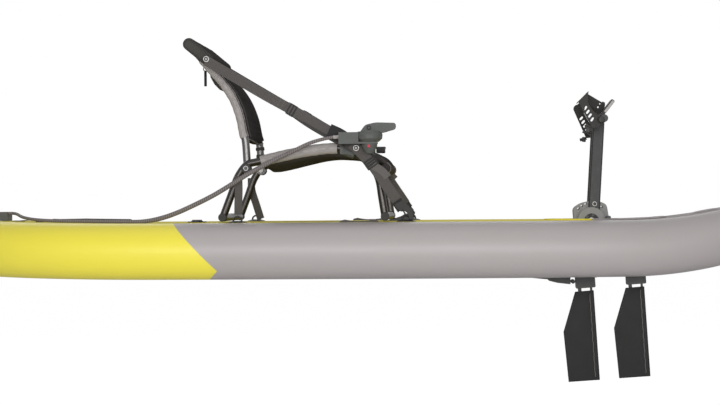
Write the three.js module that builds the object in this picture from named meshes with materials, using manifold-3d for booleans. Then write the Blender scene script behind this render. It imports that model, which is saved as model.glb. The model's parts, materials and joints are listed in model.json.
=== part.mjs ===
// A pedal-driven inflatable kayak: drop-stitch hull, framed seat, fin drive and hand-steered rudder.
// Millimetres. +X points to the bow, +Y to port and +Z up. The origin is on the flat bottom, amidships.
import * as THREE from 'three';
import { mergeVertices } from 'three/addons/utils/BufferGeometryUtils.js';
import Module from 'manifold-3d';

const wasm = await Module();
wasm.setup();

// Clearances and facets
const gap = 0.3;
const runningGap = 0.8;
const cutOverrun = 2;
const weldTolerance = 0.001;
const roundSides = 12;
const smallSides = 8;
const tubeSides = 10;
const drumSides = 16;
const thinSides = 6;
const arcSteps = 6;
const cornerSegments = 3;
const wire = 3;

// Hull
const hullLength = 2740;
const hullBeam = 910;
const hullThickness = 180;
const bowRocker = 100;
const bowRockerStart = 820;
const sternRocker = 12;
const sternRockerStart = -700;
const railRadius = hullThickness / 2;
const insetHalfLength = hullLength / 2 - railRadius;
const insetHalfBeam = hullBeam / 2 - railRadius;
// Half plan of the flat deck as [share of the half length, share of the half beam], stern to bow.
const planShares = [
  [-1, 0.3], [-0.994, 0.44], [-0.968, 0.58], [-0.91, 0.7], [-0.8, 0.83], [-0.62, 0.94], [-0.38, 0.99],
  [-0.1, 1], [0.15, 1], [0.35, 0.965], [0.5, 0.9], [0.64, 0.79], [0.76, 0.645], [0.86, 0.48], [0.935, 0.3],
  [0.98, 0.15], [1, 0],
];
const planSteps = 30;
const railSteps = 8;

// Drive well, a sleeve through the hull
const wellCentreX = 760;
const wellLength = 350;
const wellWidth = 150;
const wellCorner = 30;
const wellWall = 5;
const flangeWidth = 24;
const flangeThickness = 3;
const flangeGap = 0.6;
const ledgeDepth = 24;
const ledgeWidth = 6;
const ledgeThickness = 5;
const fairingLength = 150;
const fairingDepth = 26;
const fairingWidth = 90;
const fairingBoltRadius = 8;

// Drive, in a frame raked so that its front stands higher
const crankX = 713;
const crankZ = 176;
const rakeDegrees = 4.1;
const axleDrop = 169;
const rearHubX = -34;
const frontHubX = 134;
const sprocketTeethCount = 12;
const chainPitch = 9.5;
const driveRatio = 3;
const sprocketRadius = chainPitch / 2 / Math.sin(Math.PI / sprocketTeethCount);
const cableDrumRadius = sprocketRadius * driveRatio;
const sprocketWidth = 8;
const chainHeight = 6.4;
const chainPlate = 1.4;
const chainLinkCount = 12;
const cableRadius = 1.5;
const cableAimShare = 0.6;
const webHalfWidth = 12;
const shaftRadius = 8;
const shaftHeadRadius = 12.8;
const bearingRadius = 20;
const shoulderDrop = 24;
const drumInner = 18;
const cableDrumWidth = 11;
const drumPlateThickness = 10;
const drumRadius = 66;
const indexCircleRadius = 58;
const indexHoleRadius = 4.6;
const indexHoleCount = 7;
const indexStepDegrees = 13.7;
const coverRadius = 46;
const coverBore = 25;
const coverThickness = 4.5;
const coverBossRadius = 6;
const coverBossDegrees = [118, 180, 242];
// Outline of the drum plate as shares of the drum radius, from the aft top corner forwards.
const drumOutlineShares = [
  [-0.85, 0.7], [-0.45, 0.93], [0, 1], [0.45, 0.96], [0.83, 0.78], [0.9, 0.07], [0.62, -0.55],
  [0.2, -0.85], [-0.2, -0.85], [-0.62, -0.55], [-0.84, 0],
];

// Crank arms
const armThickness = 15;
const armWidth = 38;
const armOffset = 6.5;
const armLeanDegrees = 3.5;
const armFootRadius = 23;
const armEdge = 4;
const pedalRise = 335.5;
const pedalForward = 15.6;
const spindleRadius = 6;
const spindleBoss = 13;
const knobRadius = 12.6;
const knobWidth = 12;
const indexKnobRadius = 5.5;
const indexKnobHeight = 5;

// Pedals, drawn with u along the sole towards the toe and n out of it towards the foot
const rightPedalTiltDegrees = 36.9;
const leftPedalTiltDegrees = 23.4;
const pedalWidth = 104;
const pedalInner = 66;
const pedalToe = 66;
const pedalHeel = 52;
const soleBottom = 6;
const soleThickness = 11;
const pedalBarrelRadius = 10;
const heelLipHeight = 18;
const heelLipThickness = 6;
const soleSlotCount = 4;
const soleSlotWidth = 7;
const strapSheet = 3;
const strapRise = 93;
const strapCorner = 22;
const strapToe = 47;
const strapHeel = -5;
const strapHoleRadius = 2.6;
const strapHolePitch = 12.4;
// Holes in the inner leg as [steps of the hole pitch, share of the strap's rise].
const strapHoles = [[1, 0.37], [2, 0.37], [3, 0.37], [3, 0.26], [2, -0.06], [3, -0.06]];
const strapSlotLength = 16;
const strapSlotWidth = 5.2;
// Outer leg of the foot strap as [u, n] shares of the strap's rise.
const outerLegShares = [
  [-0.06, 0.85], [0.33, 0.85], [0.13, 0.68], [-0.02, 0.26], [-0.09, 0.03], [-0.48, 0.03], [-0.42, 0.25],
  [-0.27, 0.58],
];
const outerSlotShares = [[-0.07, 0.68], [-0.09, 0.56], [-0.155, 0.42], [-0.22, 0.28]];
// Inner leg, which ends in a rounded tail below the sole.
const innerLegShares = [
  [-0.05, 0.85], [0.505, 0.85], [0.495, -0.05], [0.42, -0.17], [0.24, -0.215], [0.13, -0.17], [0.12, 0.1],
  [-0.05, 0.24],
];

// Mast hubs and fins
const hubLength = 66;
const hubRadius = 20;
const hubSkirtDepth = 53;
const hubSkirtWidth = 26;
const hubCorner = 5;
const axleRadius = 5;
const mastRadius = 4;
const mastForward = 18;
const finTopDrop = 63;
const finKinkDrop = 194;
const finTipDrop = 362;
const finSleeveRadius = 7;
const finEdge = 2;
// Half section of the fin's leading sleeve as shares of its width and radius, from the front edge.
const finSleeveShares = [[0, 0.45], [0.25, 1], [0.8, 1], [1.4, 0.62]];
const clewWidth = 12;
// Fin outline as [x, z] shares of the fin's tip drop, along the trailing edge.
const finTrailShares = [[-0.1, -0.174], [-0.235, -0.536], [-0.224, -1]];
const finTipForward = 20;
const finTopForward = 26;

// Latch cams of the drive
const camX = 766;
const camY = 82;
const camRadius = 9;
const camHeight = 9;
const camReach = 20;
const earWidth = 14;

// Seat frame
const seatTubeRadius = 12.5;
const seatHalfWidth = 235;
const seatFootX = -490;
const seatSpan = 528;
const seatRise = 222;
// Route of a side tube as [share of the span, share of the rise], rear foot to front foot.
const sideTubeShares = [
  [0, 0], [0.05, 0.31], [0.099, 0.61], [0.153, 0.77], [0.218, 0.811], [0.294, 0.856], [0.498, 0.955],
  [0.665, 1],
  [0.75, 0.991], [0.837, 0.91], [0.939, 0.667], [0.964, 0.536], [0.982, 0.27], [1, 0],
];
const sideTubeSteps = 20;
const sideTubeSlope = [8, 9];
const frontBarShare = [0.966, 0.676];
const footRadius = 17;
const footLength = 34;
const deckTubeZ = hullThickness + gap + footRadius;
const alongSeat = (share) => seatFootX + share * seatSpan;
const upSeat = (share) => deckTubeZ + share * seatRise;

// Back frame, hinged on the side tubes
const pivotX = alongSeat(0.1477);
const pivotZ = upSeat(0.7149);
const backInset = 27;
const backHalfWidth = seatHalfWidth - backInset;
const backRise = 409;
const pivotBoltRadius = 5;
const pivotHeadRadius = 9;
const pivotHeadHeight = 5;
// Side line of the back hoop from the pivot up as shares of the back's rise: [aft, up].
const hoopShares = [
  [0, 0.02], [0.015, 0.23], [0.03, 0.285], [0.059, 0.428], [0.115, 0.57], [0.186, 0.677], [0.257, 0.763],
  [0.298, 0.807], [0.399, 0.927], [0.452, 0.993],
];
const hoopCorner = 70;
const hoopSteps = 30;

// Back cushion, top roll, pocket and zipper pull
const backSleeveRadius = 17;
const backCushionShares = [0.2, 0.9];
const backDepth = 29;
const backEdgeShare = 0.35;
// How full the cushion is at its foot and at its head.
const backEndShares = [0.8, 0.6];
const backChannelCount = 6;
const backChannelDepth = 4;
const backStations = 12;
const backAcross = 14;
const rollRadius = 20;
const rollOverhang = 11;
const rollHalfWidth = seatHalfWidth + rollOverhang;
const pocketWidth = 210;
const pocketDepth = 20;
// Places up the back hoop, and how far the pocket bulges at each.
const pocketShares = [[0.6, 0.25], [0.64, 0.9], [0.7, 1], [0.76, 0.7], [0.79, 0.2]];
const pullShare = 0.83;
const pullRadius = 4.5;
const pullLength = 52;
const pullRing = 7;

// Seat cushion
const cushionSleeveRadius = 17;
const cushionRear = alongSeat(0.231);
const cushionSleeveEnd = alongSeat(0.697);
const cushionEndShare = 0.35;
const cushionSagEnd = 0.91;
const cushionThickness = 38;
const cushionInset = 23;
const cushionInnerHalfWidth = seatHalfWidth - cushionInset;
const cushionSag = 22;
const cushionChannelCount = 7;
const cushionChannelDepth = 4;
const cushionStations = 14;
const cushionAcross = 14;
const seamSharpness = 6;
// Middle line of the cushion, rear to nose, as [x, z] shares of the seat's span and rise.
const cushionLineShares = [
  [0.231, 0.845], [0.35, 0.885], [0.498, 0.945], [0.6, 0.975], [0.69, 0.975], [0.76, 0.95], [0.84, 0.915],
  [0.925, 0.865], [0.985, 0.8], [1.02, 0.72],
];

// Webbing
const webbing = 36;
const webbingThickness = 3;
const narrowWebbing = 26;
const strapStandOff = 29;
const strapY = seatHalfWidth + strapStandOff;
const boltX = alongSeat(0.8295);
const boltZ = upSeat(0.994);
const strapTopX = pivotX - 0.3105 * backRise;
const strapTopZ = pivotZ + 0.8753 * backRise;
const buckleShare = 0.57;
const kneeShare = [0.3, 0.24];
const lowerEndShare = [0.84, 0.86];
const ringBoltRadius = 9;
const buckleLength = 34;
const buckleHeight = 9;

// Tie-downs and handles
const frontTieReach = 69;
const rearTieReach = 52;
const tieStandOff = 37;
const frontTieX = alongSeat(1) + frontTieReach;
const rearTieX = alongSeat(0) + rearTieReach;
const tieY = seatHalfWidth + tieStandOff;
const patchRadius = 31;
const patchHeight = 6;
const dRingRadius = 14;
const sideHandleX = -40;
const sideHandleLength = 124;
const sideHandleInset = 120;
const sideHandleY = hullBeam / 2 - sideHandleInset;
const handleWidth = 28;
const handlePad = 8;
const handleStrap = 3;
const bowHandleInset = 190;
const sternHandleInset = 115;
const bowHandleX = insetHalfLength - bowHandleInset;
const sternHandleX = -insetHalfLength + sternHandleInset;
const endHandleLength = 150;
const endHandleRise = 26;

// Steering
const steerX = alongSeat(0.9129);
const steerStandOff = 55;
const steerY = seatHalfWidth + steerStandOff;
const handleBaseZ = upSeat(1.0797);
const handleDiscRadius = 42.5;
const handleDiscHeight = 33;
const gripReach = 85;
const gripWidth = 24;
const gripTop = 62;
// Profile of the handle's disc as shares of its radius and height.
const discShares = [[0, 0], [0.72, 0], [0.97, 0.3], [1, 0.7], [0.9, 1], [0, 1]];
const mountWidth = 52;
const mountRearReach = 54;
const mountCheekHeight = 31;
const mountRear = boltX - mountRearReach;
const mountTopZ = handleBaseZ + mountCheekHeight;
const clampShare = [0.785, 0.955];
const mountPlate = 6;
const clampRadius = 19.5;
const clampLength = 40;
const cupDepth = 34;
const cupRadius = 25;
const conduitRadius = 5;
const conduitSteps = 42;
// Route of the conduit as shares of the way aft to the stern stop, of the handle's distance from the middle
// and of the drop from the bracket to the deck.
const conduitShares = [
  [0, 1, 1], [0.0225, 1, 1], [0.0768, 0.993, 0.937], [0.1277, 0.979, 0.84], [0.1795, 0.966, 0.739],
  [0.2549, 0.959, 0.575], [0.3067, 0.955, 0.441], [0.3575, 0.945, 0.314], [0.4154, 0.917, 0.195],
  [0.4663, 0.897, 0.102], [0.5119, 0.89, 0.039], [0.5602, 0.89, 0.004], [0.6268, 0.897, 0.004],
  [0.7321, 0.903, 0.011], [0.8225, 0.89, 0.019], [0.8804, 0.814, 0.035], [0.9198, 0.641, 0.057],
  [0.9435, 0.448, 0.076], [0.9637, 0.241, 0.095], [0.9786, 0.131, 0.106], [0.99, 0.107, 0.1095],
  [1, 0.107, 0.1095],
];

// Stern and rudder
const sternBracketHalfWidth = 28;
const bracketWall = 6;
const bracketGap = 0.8;
const pintleOverhang = 32;
const pintleX = -hullLength / 2 - pintleOverhang;
const pintleRadius = 5;
const lugThickness = 8;
const lowerLugZ = 48;
const upperLugZ = 150;
const rudderSetback = 50;
const rudderPivotX = pintleX - rudderSetback;
const rudderPivotZ = 62;
const cheekThickness = 4;
const bladeThickness = 12;
const bladeLength = 380;
const bladeChord = 120;
// Outline of the blade round its pivot as shares of its chord and length.
const bladeShares = [
  [-0.24, 0.076], [0.24, 0.076], [0.24, -0.2], [0.096, -1], [-0.6, -0.94], [-0.72, -0.3],
];
const steerArmReach = 55;
const steerArmZ = 204;
const lineRadius = 2.25;
const sternStopInset = 18;
const sternStopX = -insetHalfLength + sternStopInset;
// The bracket hugs the stern between these angles, measured up from level.
const bracketDegrees = [-80, 88];
const bracketSteps = 14;
const sternStopHeight = 30;

// Cargo cords and valve
const cargoFrontInset = 400;
const cargoRearInset = 160;
const cargoFrontX = -insetHalfLength + cargoFrontInset;
const cargoRearX = -insetHalfLength + cargoRearInset;
const cargoHalfWidth = 230;
const cargoCordRadius = 3;
const padEyeRadius = 14;
const padEyeHeight = 9;
const valveX = -600;
const valveY = -60;
const valveRadius = 25;
const valveDepth = 30;
const valveFlange = 7;
const valveCapHeight = 9;

const radians = Math.PI / 180;
const vector = (x, y, z) => new THREE.Vector3(x, y, z);
const kayak = new THREE.Group();

// Solids: closed geometries are joined and cut as solids and come back as geometries.
function toSolid(geometry) {
  const bare = new THREE.BufferGeometry();
  bare.setAttribute('position', geometry.getAttribute('position').clone());
  if (geometry.index) bare.setIndex(geometry.index.clone());
  const welded = mergeVertices(bare, weldTolerance);
  const index = welded.index.array;
  const place = welded.getAttribute('position');
  const corner = [vector(0, 0, 0), vector(0, 0, 0), vector(0, 0, 0)];
  const triangles = [];
  let volume = 0;
  for (let i = 0; i < index.length; i += 3) {
    const [a, b, c] = [index[i], index[i + 1], index[i + 2]];
    if (a === b || b === c || c === a) continue;
    [a, b, c].forEach((vertex, k) => corner[k].fromBufferAttribute(place, vertex));
    volume += corner[0].dot(corner[1].clone().cross(corner[2]));
    triangles.push([a, b, c]);
  }
  const outward = volume < 0 ? triangles.map(([a, b, c]) => [a, c, b]) : triangles;
  return new wasm.Manifold(new wasm.Mesh({
    numProp: 3,
    vertProperties: new Float32Array(place.array),
    triVerts: new Uint32Array(outward.flat()),
  }));
}

function toGeometry(solid) {
  const mesh = solid.getMesh();
  const geometry = new THREE.BufferGeometry();
  geometry.setAttribute('position', new THREE.BufferAttribute(new Float32Array(mesh.vertProperties), 3));
  geometry.setIndex(new THREE.BufferAttribute(new Uint32Array(mesh.triVerts), 1));
  geometry.computeVertexNormals();
  return geometry;
}

const join = (...parts) => toGeometry(parts.map(toSolid).reduce((whole, part) => whole.add(part)));
const cut = (body, ...tools) => toGeometry(
  tools.map(toSolid).reduce((rest, tool) => rest.subtract(tool), toSolid(body)));
// Radius of a faceted bore that a faceted bar of the given radius can turn in.
const boreFor = (radius) => (radius + gap) / Math.cos(Math.PI / smallSides);
const overlap = (one, other) => toGeometry(toSolid(one).intersect(toSolid(other)));
const mirrored = (geometry) => toGeometry(toSolid(geometry.clone().scale(1, -1, 1)));

// Shapes
function roundedShape(corners, radius) {
  const shape = new THREE.Shape();
  const points = corners.map(([x, y]) => new THREE.Vector2(x, y));
  points.forEach((point, i) => {
    const before = points[(i + points.length - 1) % points.length];
    const after = points[(i + 1) % points.length];
    const reach = (other) => Math.min(radius, point.distanceTo(other) / 2) / point.distanceTo(other);
    const start = point.clone().lerp(before, reach(before));
    const end = point.clone().lerp(after, reach(after));
    if (i === 0) shape.moveTo(start.x, start.y);
    else shape.lineTo(start.x, start.y);
    shape.quadraticCurveTo(point.x, point.y, end.x, end.y);
  });
  shape.closePath();
  return shape;
}

const rectangle = (left, bottom, right, top) => [[left, bottom], [right, bottom], [right, top], [left, top]];
const scaled = (shares, width, height = width) => shares.map(([x, y]) => [x * width, y * height]);

function circleShape(radius, sides = roundSides, x = 0, y = 0) {
  const corners = Array.from({ length: sides }, (_, i) => {
    const angle = (i + 0.5) * 2 * Math.PI / sides;
    return new THREE.Vector2(x + radius * Math.cos(angle), y + radius * Math.sin(angle));
  });
  return new THREE.Shape(corners);
}

// Plates: a shape drawn in plan, in side view or in end view, given its thickness.
function planPlate(shape, fromZ, toZ) {
  return new THREE.ExtrudeGeometry(shape, {
    depth: toZ - fromZ, bevelEnabled: false, curveSegments: cornerSegments,
  }).translate(0, 0, fromZ);
}

function sidePlate(shape, fromY, toY) {
  return planPlate(shape, 0, toY - fromY).rotateX(Math.PI / 2).translate(0, toY, 0);
}

function endPlate(shape, fromX, toX) {
  const turn = new THREE.Matrix4().makeBasis(vector(0, 1, 0), vector(0, 0, 1), vector(1, 0, 0));
  return planPlate(shape, 0, toX - fromX).applyMatrix4(turn).translate(fromX, 0, 0);
}

function box(fromX, toX, fromY, toY, fromZ, toZ) {
  return new THREE.BoxGeometry(toX - fromX, toY - fromY, toZ - fromZ)
    .translate((fromX + toX) / 2, (fromY + toY) / 2, (fromZ + toZ) / 2);
}

// Round bars and tubes
function rod(from, to, radius, sides = roundSides) {
  const along = to.clone().sub(from);
  const turn = new THREE.Quaternion().setFromUnitVectors(vector(0, 1, 0), along.clone().normalize());
  const middle = from.clone().lerp(to, 0.5);
  return new THREE.CylinderGeometry(radius, radius, along.length(), sides)
    .applyQuaternion(turn).translate(middle.x, middle.y, middle.z);
}

function tube(points, radius, steps, sides = smallSides) {
  const path = new THREE.CatmullRomCurve3(points, false, 'centripetal');
  return new THREE.ExtrudeGeometry(circleShape(radius, sides),
    { steps, extrudePath: path, bevelEnabled: false });
}

function turned(profile, sides = roundSides) {
  const points = profile.map(([radius, height]) => new THREE.Vector2(radius, height));
  return new THREE.LatheGeometry(points, sides).rotateX(Math.PI / 2);
}

// A band of webbing that follows points in side view and lies flat between two Y values.
function sideBand(points, width, fromY, toY) {
  const side = (sign) => points.map(([x, z], i) => {
    const [beforeX, beforeZ] = points[Math.max(i - 1, 0)];
    const [afterX, afterZ] = points[Math.min(i + 1, points.length - 1)];
    const across = new THREE.Vector2(beforeZ - afterZ, afterX - beforeX).setLength(sign * width / 2);
    return new THREE.Vector2(x + across.x, z + across.y);
  });
  return sidePlate(new THREE.Shape([...side(1), ...side(-1).reverse()]), fromY, toY);
}

// A skin through rings of equal count, closed by a fan at each end.
function loft(rings) {
  const count = rings[0].length;
  const middles = [rings[0], rings[rings.length - 1]].map((ring) => (
    ring.reduce((sum, point) => sum.add(point), vector(0, 0, 0)).divideScalar(count)));
  const points = [...rings.flat(), ...middles];
  const index = [];
  for (let r = 0; r + 1 < rings.length; r += 1) {
    for (let i = 0; i < count; i += 1) {
      const [a, b] = [r * count + i, r * count + (i + 1) % count];
      index.push(a, b, b + count, a, b + count, a + count);
    }
  }
  const [first, last] = [points.length - 2, points.length - 1];
  const lastRing = (rings.length - 1) * count;
  for (let i = 0; i < count; i += 1) {
    const next = (i + 1) % count;
    index.push(first, next, i, last, lastRing + i, lastRing + next);
  }
  const geometry = new THREE.BufferGeometry().setFromPoints(points);
  geometry.setIndex(index);
  return geometry;
}

function addPiece(name, geometry, colour, roughness, metalness = 0, parent = kayak) {
  const material = new THREE.MeshStandardMaterial({ color: colour, roughness, metalness });
  const mesh = new THREE.Mesh(toGeometry(toSolid(geometry)), material);
  mesh.name = name;
  parent.add(mesh);
  return mesh;
}

const colours = {
  hullGrey: 0xaaa3a4, darkPlastic: 0x484645, drumGrey: 0x8a8c8a, armGrey: 0x4b494b, metal: 0xb9b7b5,
  webbing: 0x565352, finBlack: 0x302e2f, sleeveGrey: 0x968f8c, cushion: 0x403d3d, conduit: 0x6f6868,
  black: 0x232122,
};

// Hull: the flat deck plan is offset outwards round a half-round rail, and bow and stern rise with the
// rocker.
function rockerAt(x) {
  if (x > bowRockerStart) return bowRocker * ((x - bowRockerStart) / (hullLength / 2 - bowRockerStart)) ** 2;
  if (x < sternRockerStart) {
    return sternRocker * ((sternRockerStart - x) / (hullLength / 2 + sternRockerStart)) ** 2;
  }
  return 0;
}

function followRocker(geometry) {
  const place = geometry.getAttribute('position');
  for (let i = 0; i < place.count; i += 1) place.setZ(i, place.getZ(i) + rockerAt(place.getX(i)));
  return geometry;
}

function hullOutline() {
  const half = new THREE.SplineCurve(
    planShares.map(([x, y]) => new THREE.Vector2(x * insetHalfLength, y * insetHalfBeam)));
  const port = half.getSpacedPoints(planSteps);
  const starboard = port.slice(0, -1).map(({ x, y }) => new THREE.Vector2(x, -y)).reverse();
  return [...port, ...starboard];
}

function hullGeometry() {
  const outline = hullOutline();
  const count = outline.length;
  const outward = outline.map((_, i) => {
    const along = outline[(i + 1) % count].clone().sub(outline[(i + count - 1) % count]);
    return new THREE.Vector2(-along.y, along.x).normalize();
  });
  const points = [];
  for (let r = 0; r <= railSteps; r += 1) {
    const angle = (r / railSteps - 0.5) * Math.PI;
    const reach = railRadius * Math.cos(angle);
    outline.forEach((point, i) => {
      const x = point.x + outward[i].x * reach;
      const y = point.y + outward[i].y * reach;
      points.push(vector(x, y, railRadius * (1 + Math.sin(angle)) + rockerAt(x)));
    });
  }
  const index = [];
  for (let r = 0; r < railSteps; r += 1) {
    for (let i = 0; i < count; i += 1) {
      const [a, b] = [r * count + i, r * count + (i + 1) % count];
      index.push(a, b + count, b, a, a + count, b + count);
    }
  }
  const top = railSteps * count;
  for (let i = 0; i + 1 < count / 2; i += 1) {
    const [near, far] = [[i, count - 1 - i], [i + 1, count - 2 - i]];
    if (near[1] !== far[0]) {
      index.push(near[0], far[0], near[1], top + near[0], top + near[1], top + far[0]);
    }
    if (far[0] !== far[1]) {
      index.push(far[0], far[1], near[1], top + far[0], top + near[1], top + far[1]);
    }
  }
  const geometry = new THREE.BufferGeometry().setFromPoints(points);
  geometry.setIndex(index);
  return geometry;
}

const valvePlace = vector(valveX, valveY, hullThickness);

function roundCornered(halfLength, halfWidth, corner) {
  const shape = new THREE.Shape();
  const points = [];
  [[1, 1, 0], [-1, 1, 1], [-1, -1, 2], [1, -1, 3]].forEach(([sx, sy, quarter]) => {
    for (let i = 0; i <= cornerSegments; i += 1) {
      const angle = (quarter + i / cornerSegments) * Math.PI / 2;
      points.push(new THREE.Vector2(
        wellCentreX + sx * (halfLength - corner) + corner * Math.cos(angle),
        sy * (halfWidth - corner) + corner * Math.sin(angle)));
    }
  });
  shape.setFromPoints(points);
  return shape;
}

function hull() {
  const slot = planPlate(roundCornered(wellLength / 2, wellWidth / 2, wellCorner), -hullThickness,
    2 * hullThickness);
  const pocket = rod(
    valvePlace.clone().setZ(hullThickness - valveDepth), valvePlace.clone().setZ(hullThickness + cutOverrun),
    valveRadius);
  addPiece('hull', cut(hullGeometry(), slot, pocket), colours.hullGrey, 0.45);
}

// Drive well: sleeve, two flanges that follow the hull, an inner ledge for the drive and a fairing below.
const wellOuterLength = wellLength / 2 - gap;
const wellOuterWidth = wellWidth / 2 - gap;
const wellInnerLength = wellOuterLength - wellWall;
const wellInnerWidth = wellOuterWidth - wellWall;
const ledgeZ = hullThickness - ledgeDepth;
const deckFlangeZ = hullThickness + flangeGap;

function driveWell() {
  const ring = (reach, inset, fromZ, toZ) => {
    const shape = roundCornered(wellOuterLength + reach, wellOuterWidth + reach,
      wellCorner - gap + reach / 2);
    shape.holes.push(roundCornered(wellOuterLength - inset, wellOuterWidth - inset,
      wellCorner - gap - wellWall));
    return planPlate(shape, fromZ, toZ);
  };
  const keel = -flangeGap - flangeThickness;
  const outside = flangeGap + flangeThickness;
  const moved = (rise) => hullGeometry().translate(0, 0, rise);
  const above = ring(flangeWidth, wellWall / 2, railRadius, 2 * hullThickness);
  const below = ring(flangeWidth, wellWall / 2, -hullThickness, railRadius);
  const deckFlange = cut(overlap(above, moved(outside)), moved(flangeGap));
  const keelFlange = cut(overlap(below, moved(-outside)), moved(-flangeGap));
  const sleeve = overlap(ring(0, wellWall, -hullThickness, 2 * hullThickness),
    join(moved(outside), moved(-outside)));
  const ledge = ring(-wellWall / 2, wellWall + ledgeWidth, ledgeZ - ledgeThickness, ledgeZ);
  const aftEnd = wellCentreX - wellLength / 2;
  const fairingTip = aftEnd + flangeWidth - fairingLength;
  const fairing = sidePlate(new THREE.Shape([
    new THREE.Vector2(fairingTip, keel + flangeThickness),
    new THREE.Vector2(fairingTip, keel - flangeThickness),
    new THREE.Vector2(aftEnd - flangeWidth, keel - fairingDepth / 2),
    new THREE.Vector2(aftEnd, keel - fairingDepth / 2),
    new THREE.Vector2(aftEnd, keel + flangeThickness),
  ]), -fairingWidth / 2, fairingWidth / 2);
  const boltX = aftEnd + 2 * flangeWidth;
  const bolt = join(
    box(aftEnd - flangeWidth, boltX, -fairingBoltRadius / 2, fairingBoltRadius / 2, keel - fairingBoltRadius,
      keel),
    rod(vector(boltX, -fairingBoltRadius, keel - fairingBoltRadius),
      vector(boltX, fairingBoltRadius, keel - fairingBoltRadius), fairingBoltRadius, smallSides));
  addPiece('drive_well', join(sleeve, deckFlange, keelFlange, ledge, fairing, bolt), colours.darkPlastic,
    0.6);
}

// Valve in the deck, with a cap that turns
function valve() {
  const rim = valveRadius + valveFlange;
  const wall = valveFlange / 2;
  const bodyRadius = valveRadius - gap;
  const body = turned([
    [0, -valveDepth + gap], [bodyRadius, -valveDepth + gap], [bodyRadius, gap], [rim, gap], [rim, wall],
    [bodyRadius - wall, wall], [bodyRadius - wall, -valveDepth + wall], [0, -valveDepth + wall],
  ]).translate(valveX, valveY, hullThickness);
  addPiece('inflation_valve', body, colours.black, 0.5);
  const capRadius = (bodyRadius - wall) * Math.cos(Math.PI / roundSides) - gap;
  const cap = join(
    turned([[0, 0], [capRadius, 0], [capRadius, valveCapHeight / 2],
      [capRadius - wall, valveCapHeight / 2 + wall / 2],
      [0, valveCapHeight / 2 + wall / 2]]),
    box(-capRadius + wall, capRadius - wall, -wall / 2, wall / 2, 0, valveCapHeight),
  ).translate(valveX, valveY, hullThickness);
  addPiece('valve_cap', cap, colours.black, 0.5);
}

// Tie-down patch with its D-ring, standing on the deck
function tieDown(x, y) {
  const patch = turned([
    [0, 0], [patchRadius, 0], [patchRadius, handleStrap / 2], [patchRadius / 2, patchHeight],
    [0, patchHeight],
  ]).translate(x, y, hullThickness + gap);
  const ringZ = hullThickness + patchHeight;
  const route = Array.from({ length: arcSteps + 1 }, (_, i) => {
    const angle = i / arcSteps * Math.PI;
    return vector(x - dRingRadius * Math.cos(angle), y, ringZ + dRingRadius * Math.sin(angle));
  });
  return join(patch, tube(route, wire, arcSteps, thinSides));
}

function tieDowns() {
  [['front', frontTieX], ['rear', rearTieX]].forEach(([end, x]) => {
    [['right', -1], ['left', 1]].forEach(([side, sign]) => {
      addPiece(`${end}_tie_down_${side}`, tieDown(x, sign * tieY), colours.black, 0.6);
    });
  });
}

// Webbing handles: two stitched pads with a low strap between them
function webbingHandle(x, length, rise) {
  const half = length / 2;
  const pad = length / 4;
  const top = [
    [-half, 0], [-half + handleStrap, handlePad - handleStrap], [-half + pad / 2, handlePad],
    [-half + pad, handlePad - handleStrap], [-pad / 2, handleStrap + rise], [pad / 2, handleStrap + rise],
    [half - pad, handlePad - handleStrap], [half - pad / 2, handlePad],
    [half - handleStrap, handlePad - handleStrap], [half, 0],
  ];
  const bottom = rise > 0 ? [[half - pad, 0], [pad / 2, rise], [-pad / 2, rise], [-half + pad, 0]] : [];
  const shape = new THREE.Shape([...top, ...bottom].map(([px, pz]) => new THREE.Vector2(x + px, pz)));
  return followRocker(sidePlate(shape, -handleWidth / 2, handleWidth / 2));
}

function handles() {
  const onDeck = hullThickness + flangeGap;
  [['right', -1], ['left', 1]].forEach(([side, sign]) => {
    const handle = webbingHandle(sideHandleX, sideHandleLength, 0).translate(0, sign * sideHandleY, onDeck);
    addPiece(`side_handle_${side}`, handle, colours.webbing, 0.9);
  });
  addPiece('bow_handle', webbingHandle(bowHandleX, endHandleLength, endHandleRise).translate(0, 0, onDeck),
    colours.webbing, 0.9);
  addPiece('stern_handle', webbingHandle(sternHandleX, endHandleLength, endHandleRise).translate(0, 0,
    onDeck),
    colours.webbing, 0.9);
}

// Cargo cords laced between four pad-eyes on the stern deck
function cargoCords() {
  const eyes = [[cargoFrontX, cargoHalfWidth], [cargoRearX, cargoHalfWidth / 2],
    [cargoRearX, -cargoHalfWidth / 2],
    [cargoFrontX, -cargoHalfWidth]];
  const deckAt = (x) => hullThickness + rockerAt(x) + flangeGap;
  const cordZ = padEyeHeight - cargoCordRadius;
  const pads = eyes.map(([x, y]) => turned([
    [0, 0], [padEyeRadius, 0], [padEyeRadius, padEyeHeight / 3], [padEyeRadius / 2, padEyeHeight],
    [0, padEyeHeight],
  ], smallSides).translate(x, y, deckAt(x)));
  const at = (k) => vector(eyes[k][0], eyes[k][1], deckAt(eyes[k][0]) + cordZ);
  const cords = [[0, 1], [0, 2], [3, 1], [3, 2]].map(([a, b]) => (
    rod(at(a), at(b), cargoCordRadius, thinSides)));
  addPiece('rear_bungee', join(...pads, ...cords), colours.black, 0.7);
}

// Seat frame
const seatPoint = ([x, z], y) => vector(alongSeat(x), y, upSeat(z));
const sideRoute = (y) => sideTubeShares.map((share) => seatPoint(share, y));
const crossBar = (x, z, radius, halfWidth) => rod(vector(x, -halfWidth, z), vector(x, halfWidth, z), radius);

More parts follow.
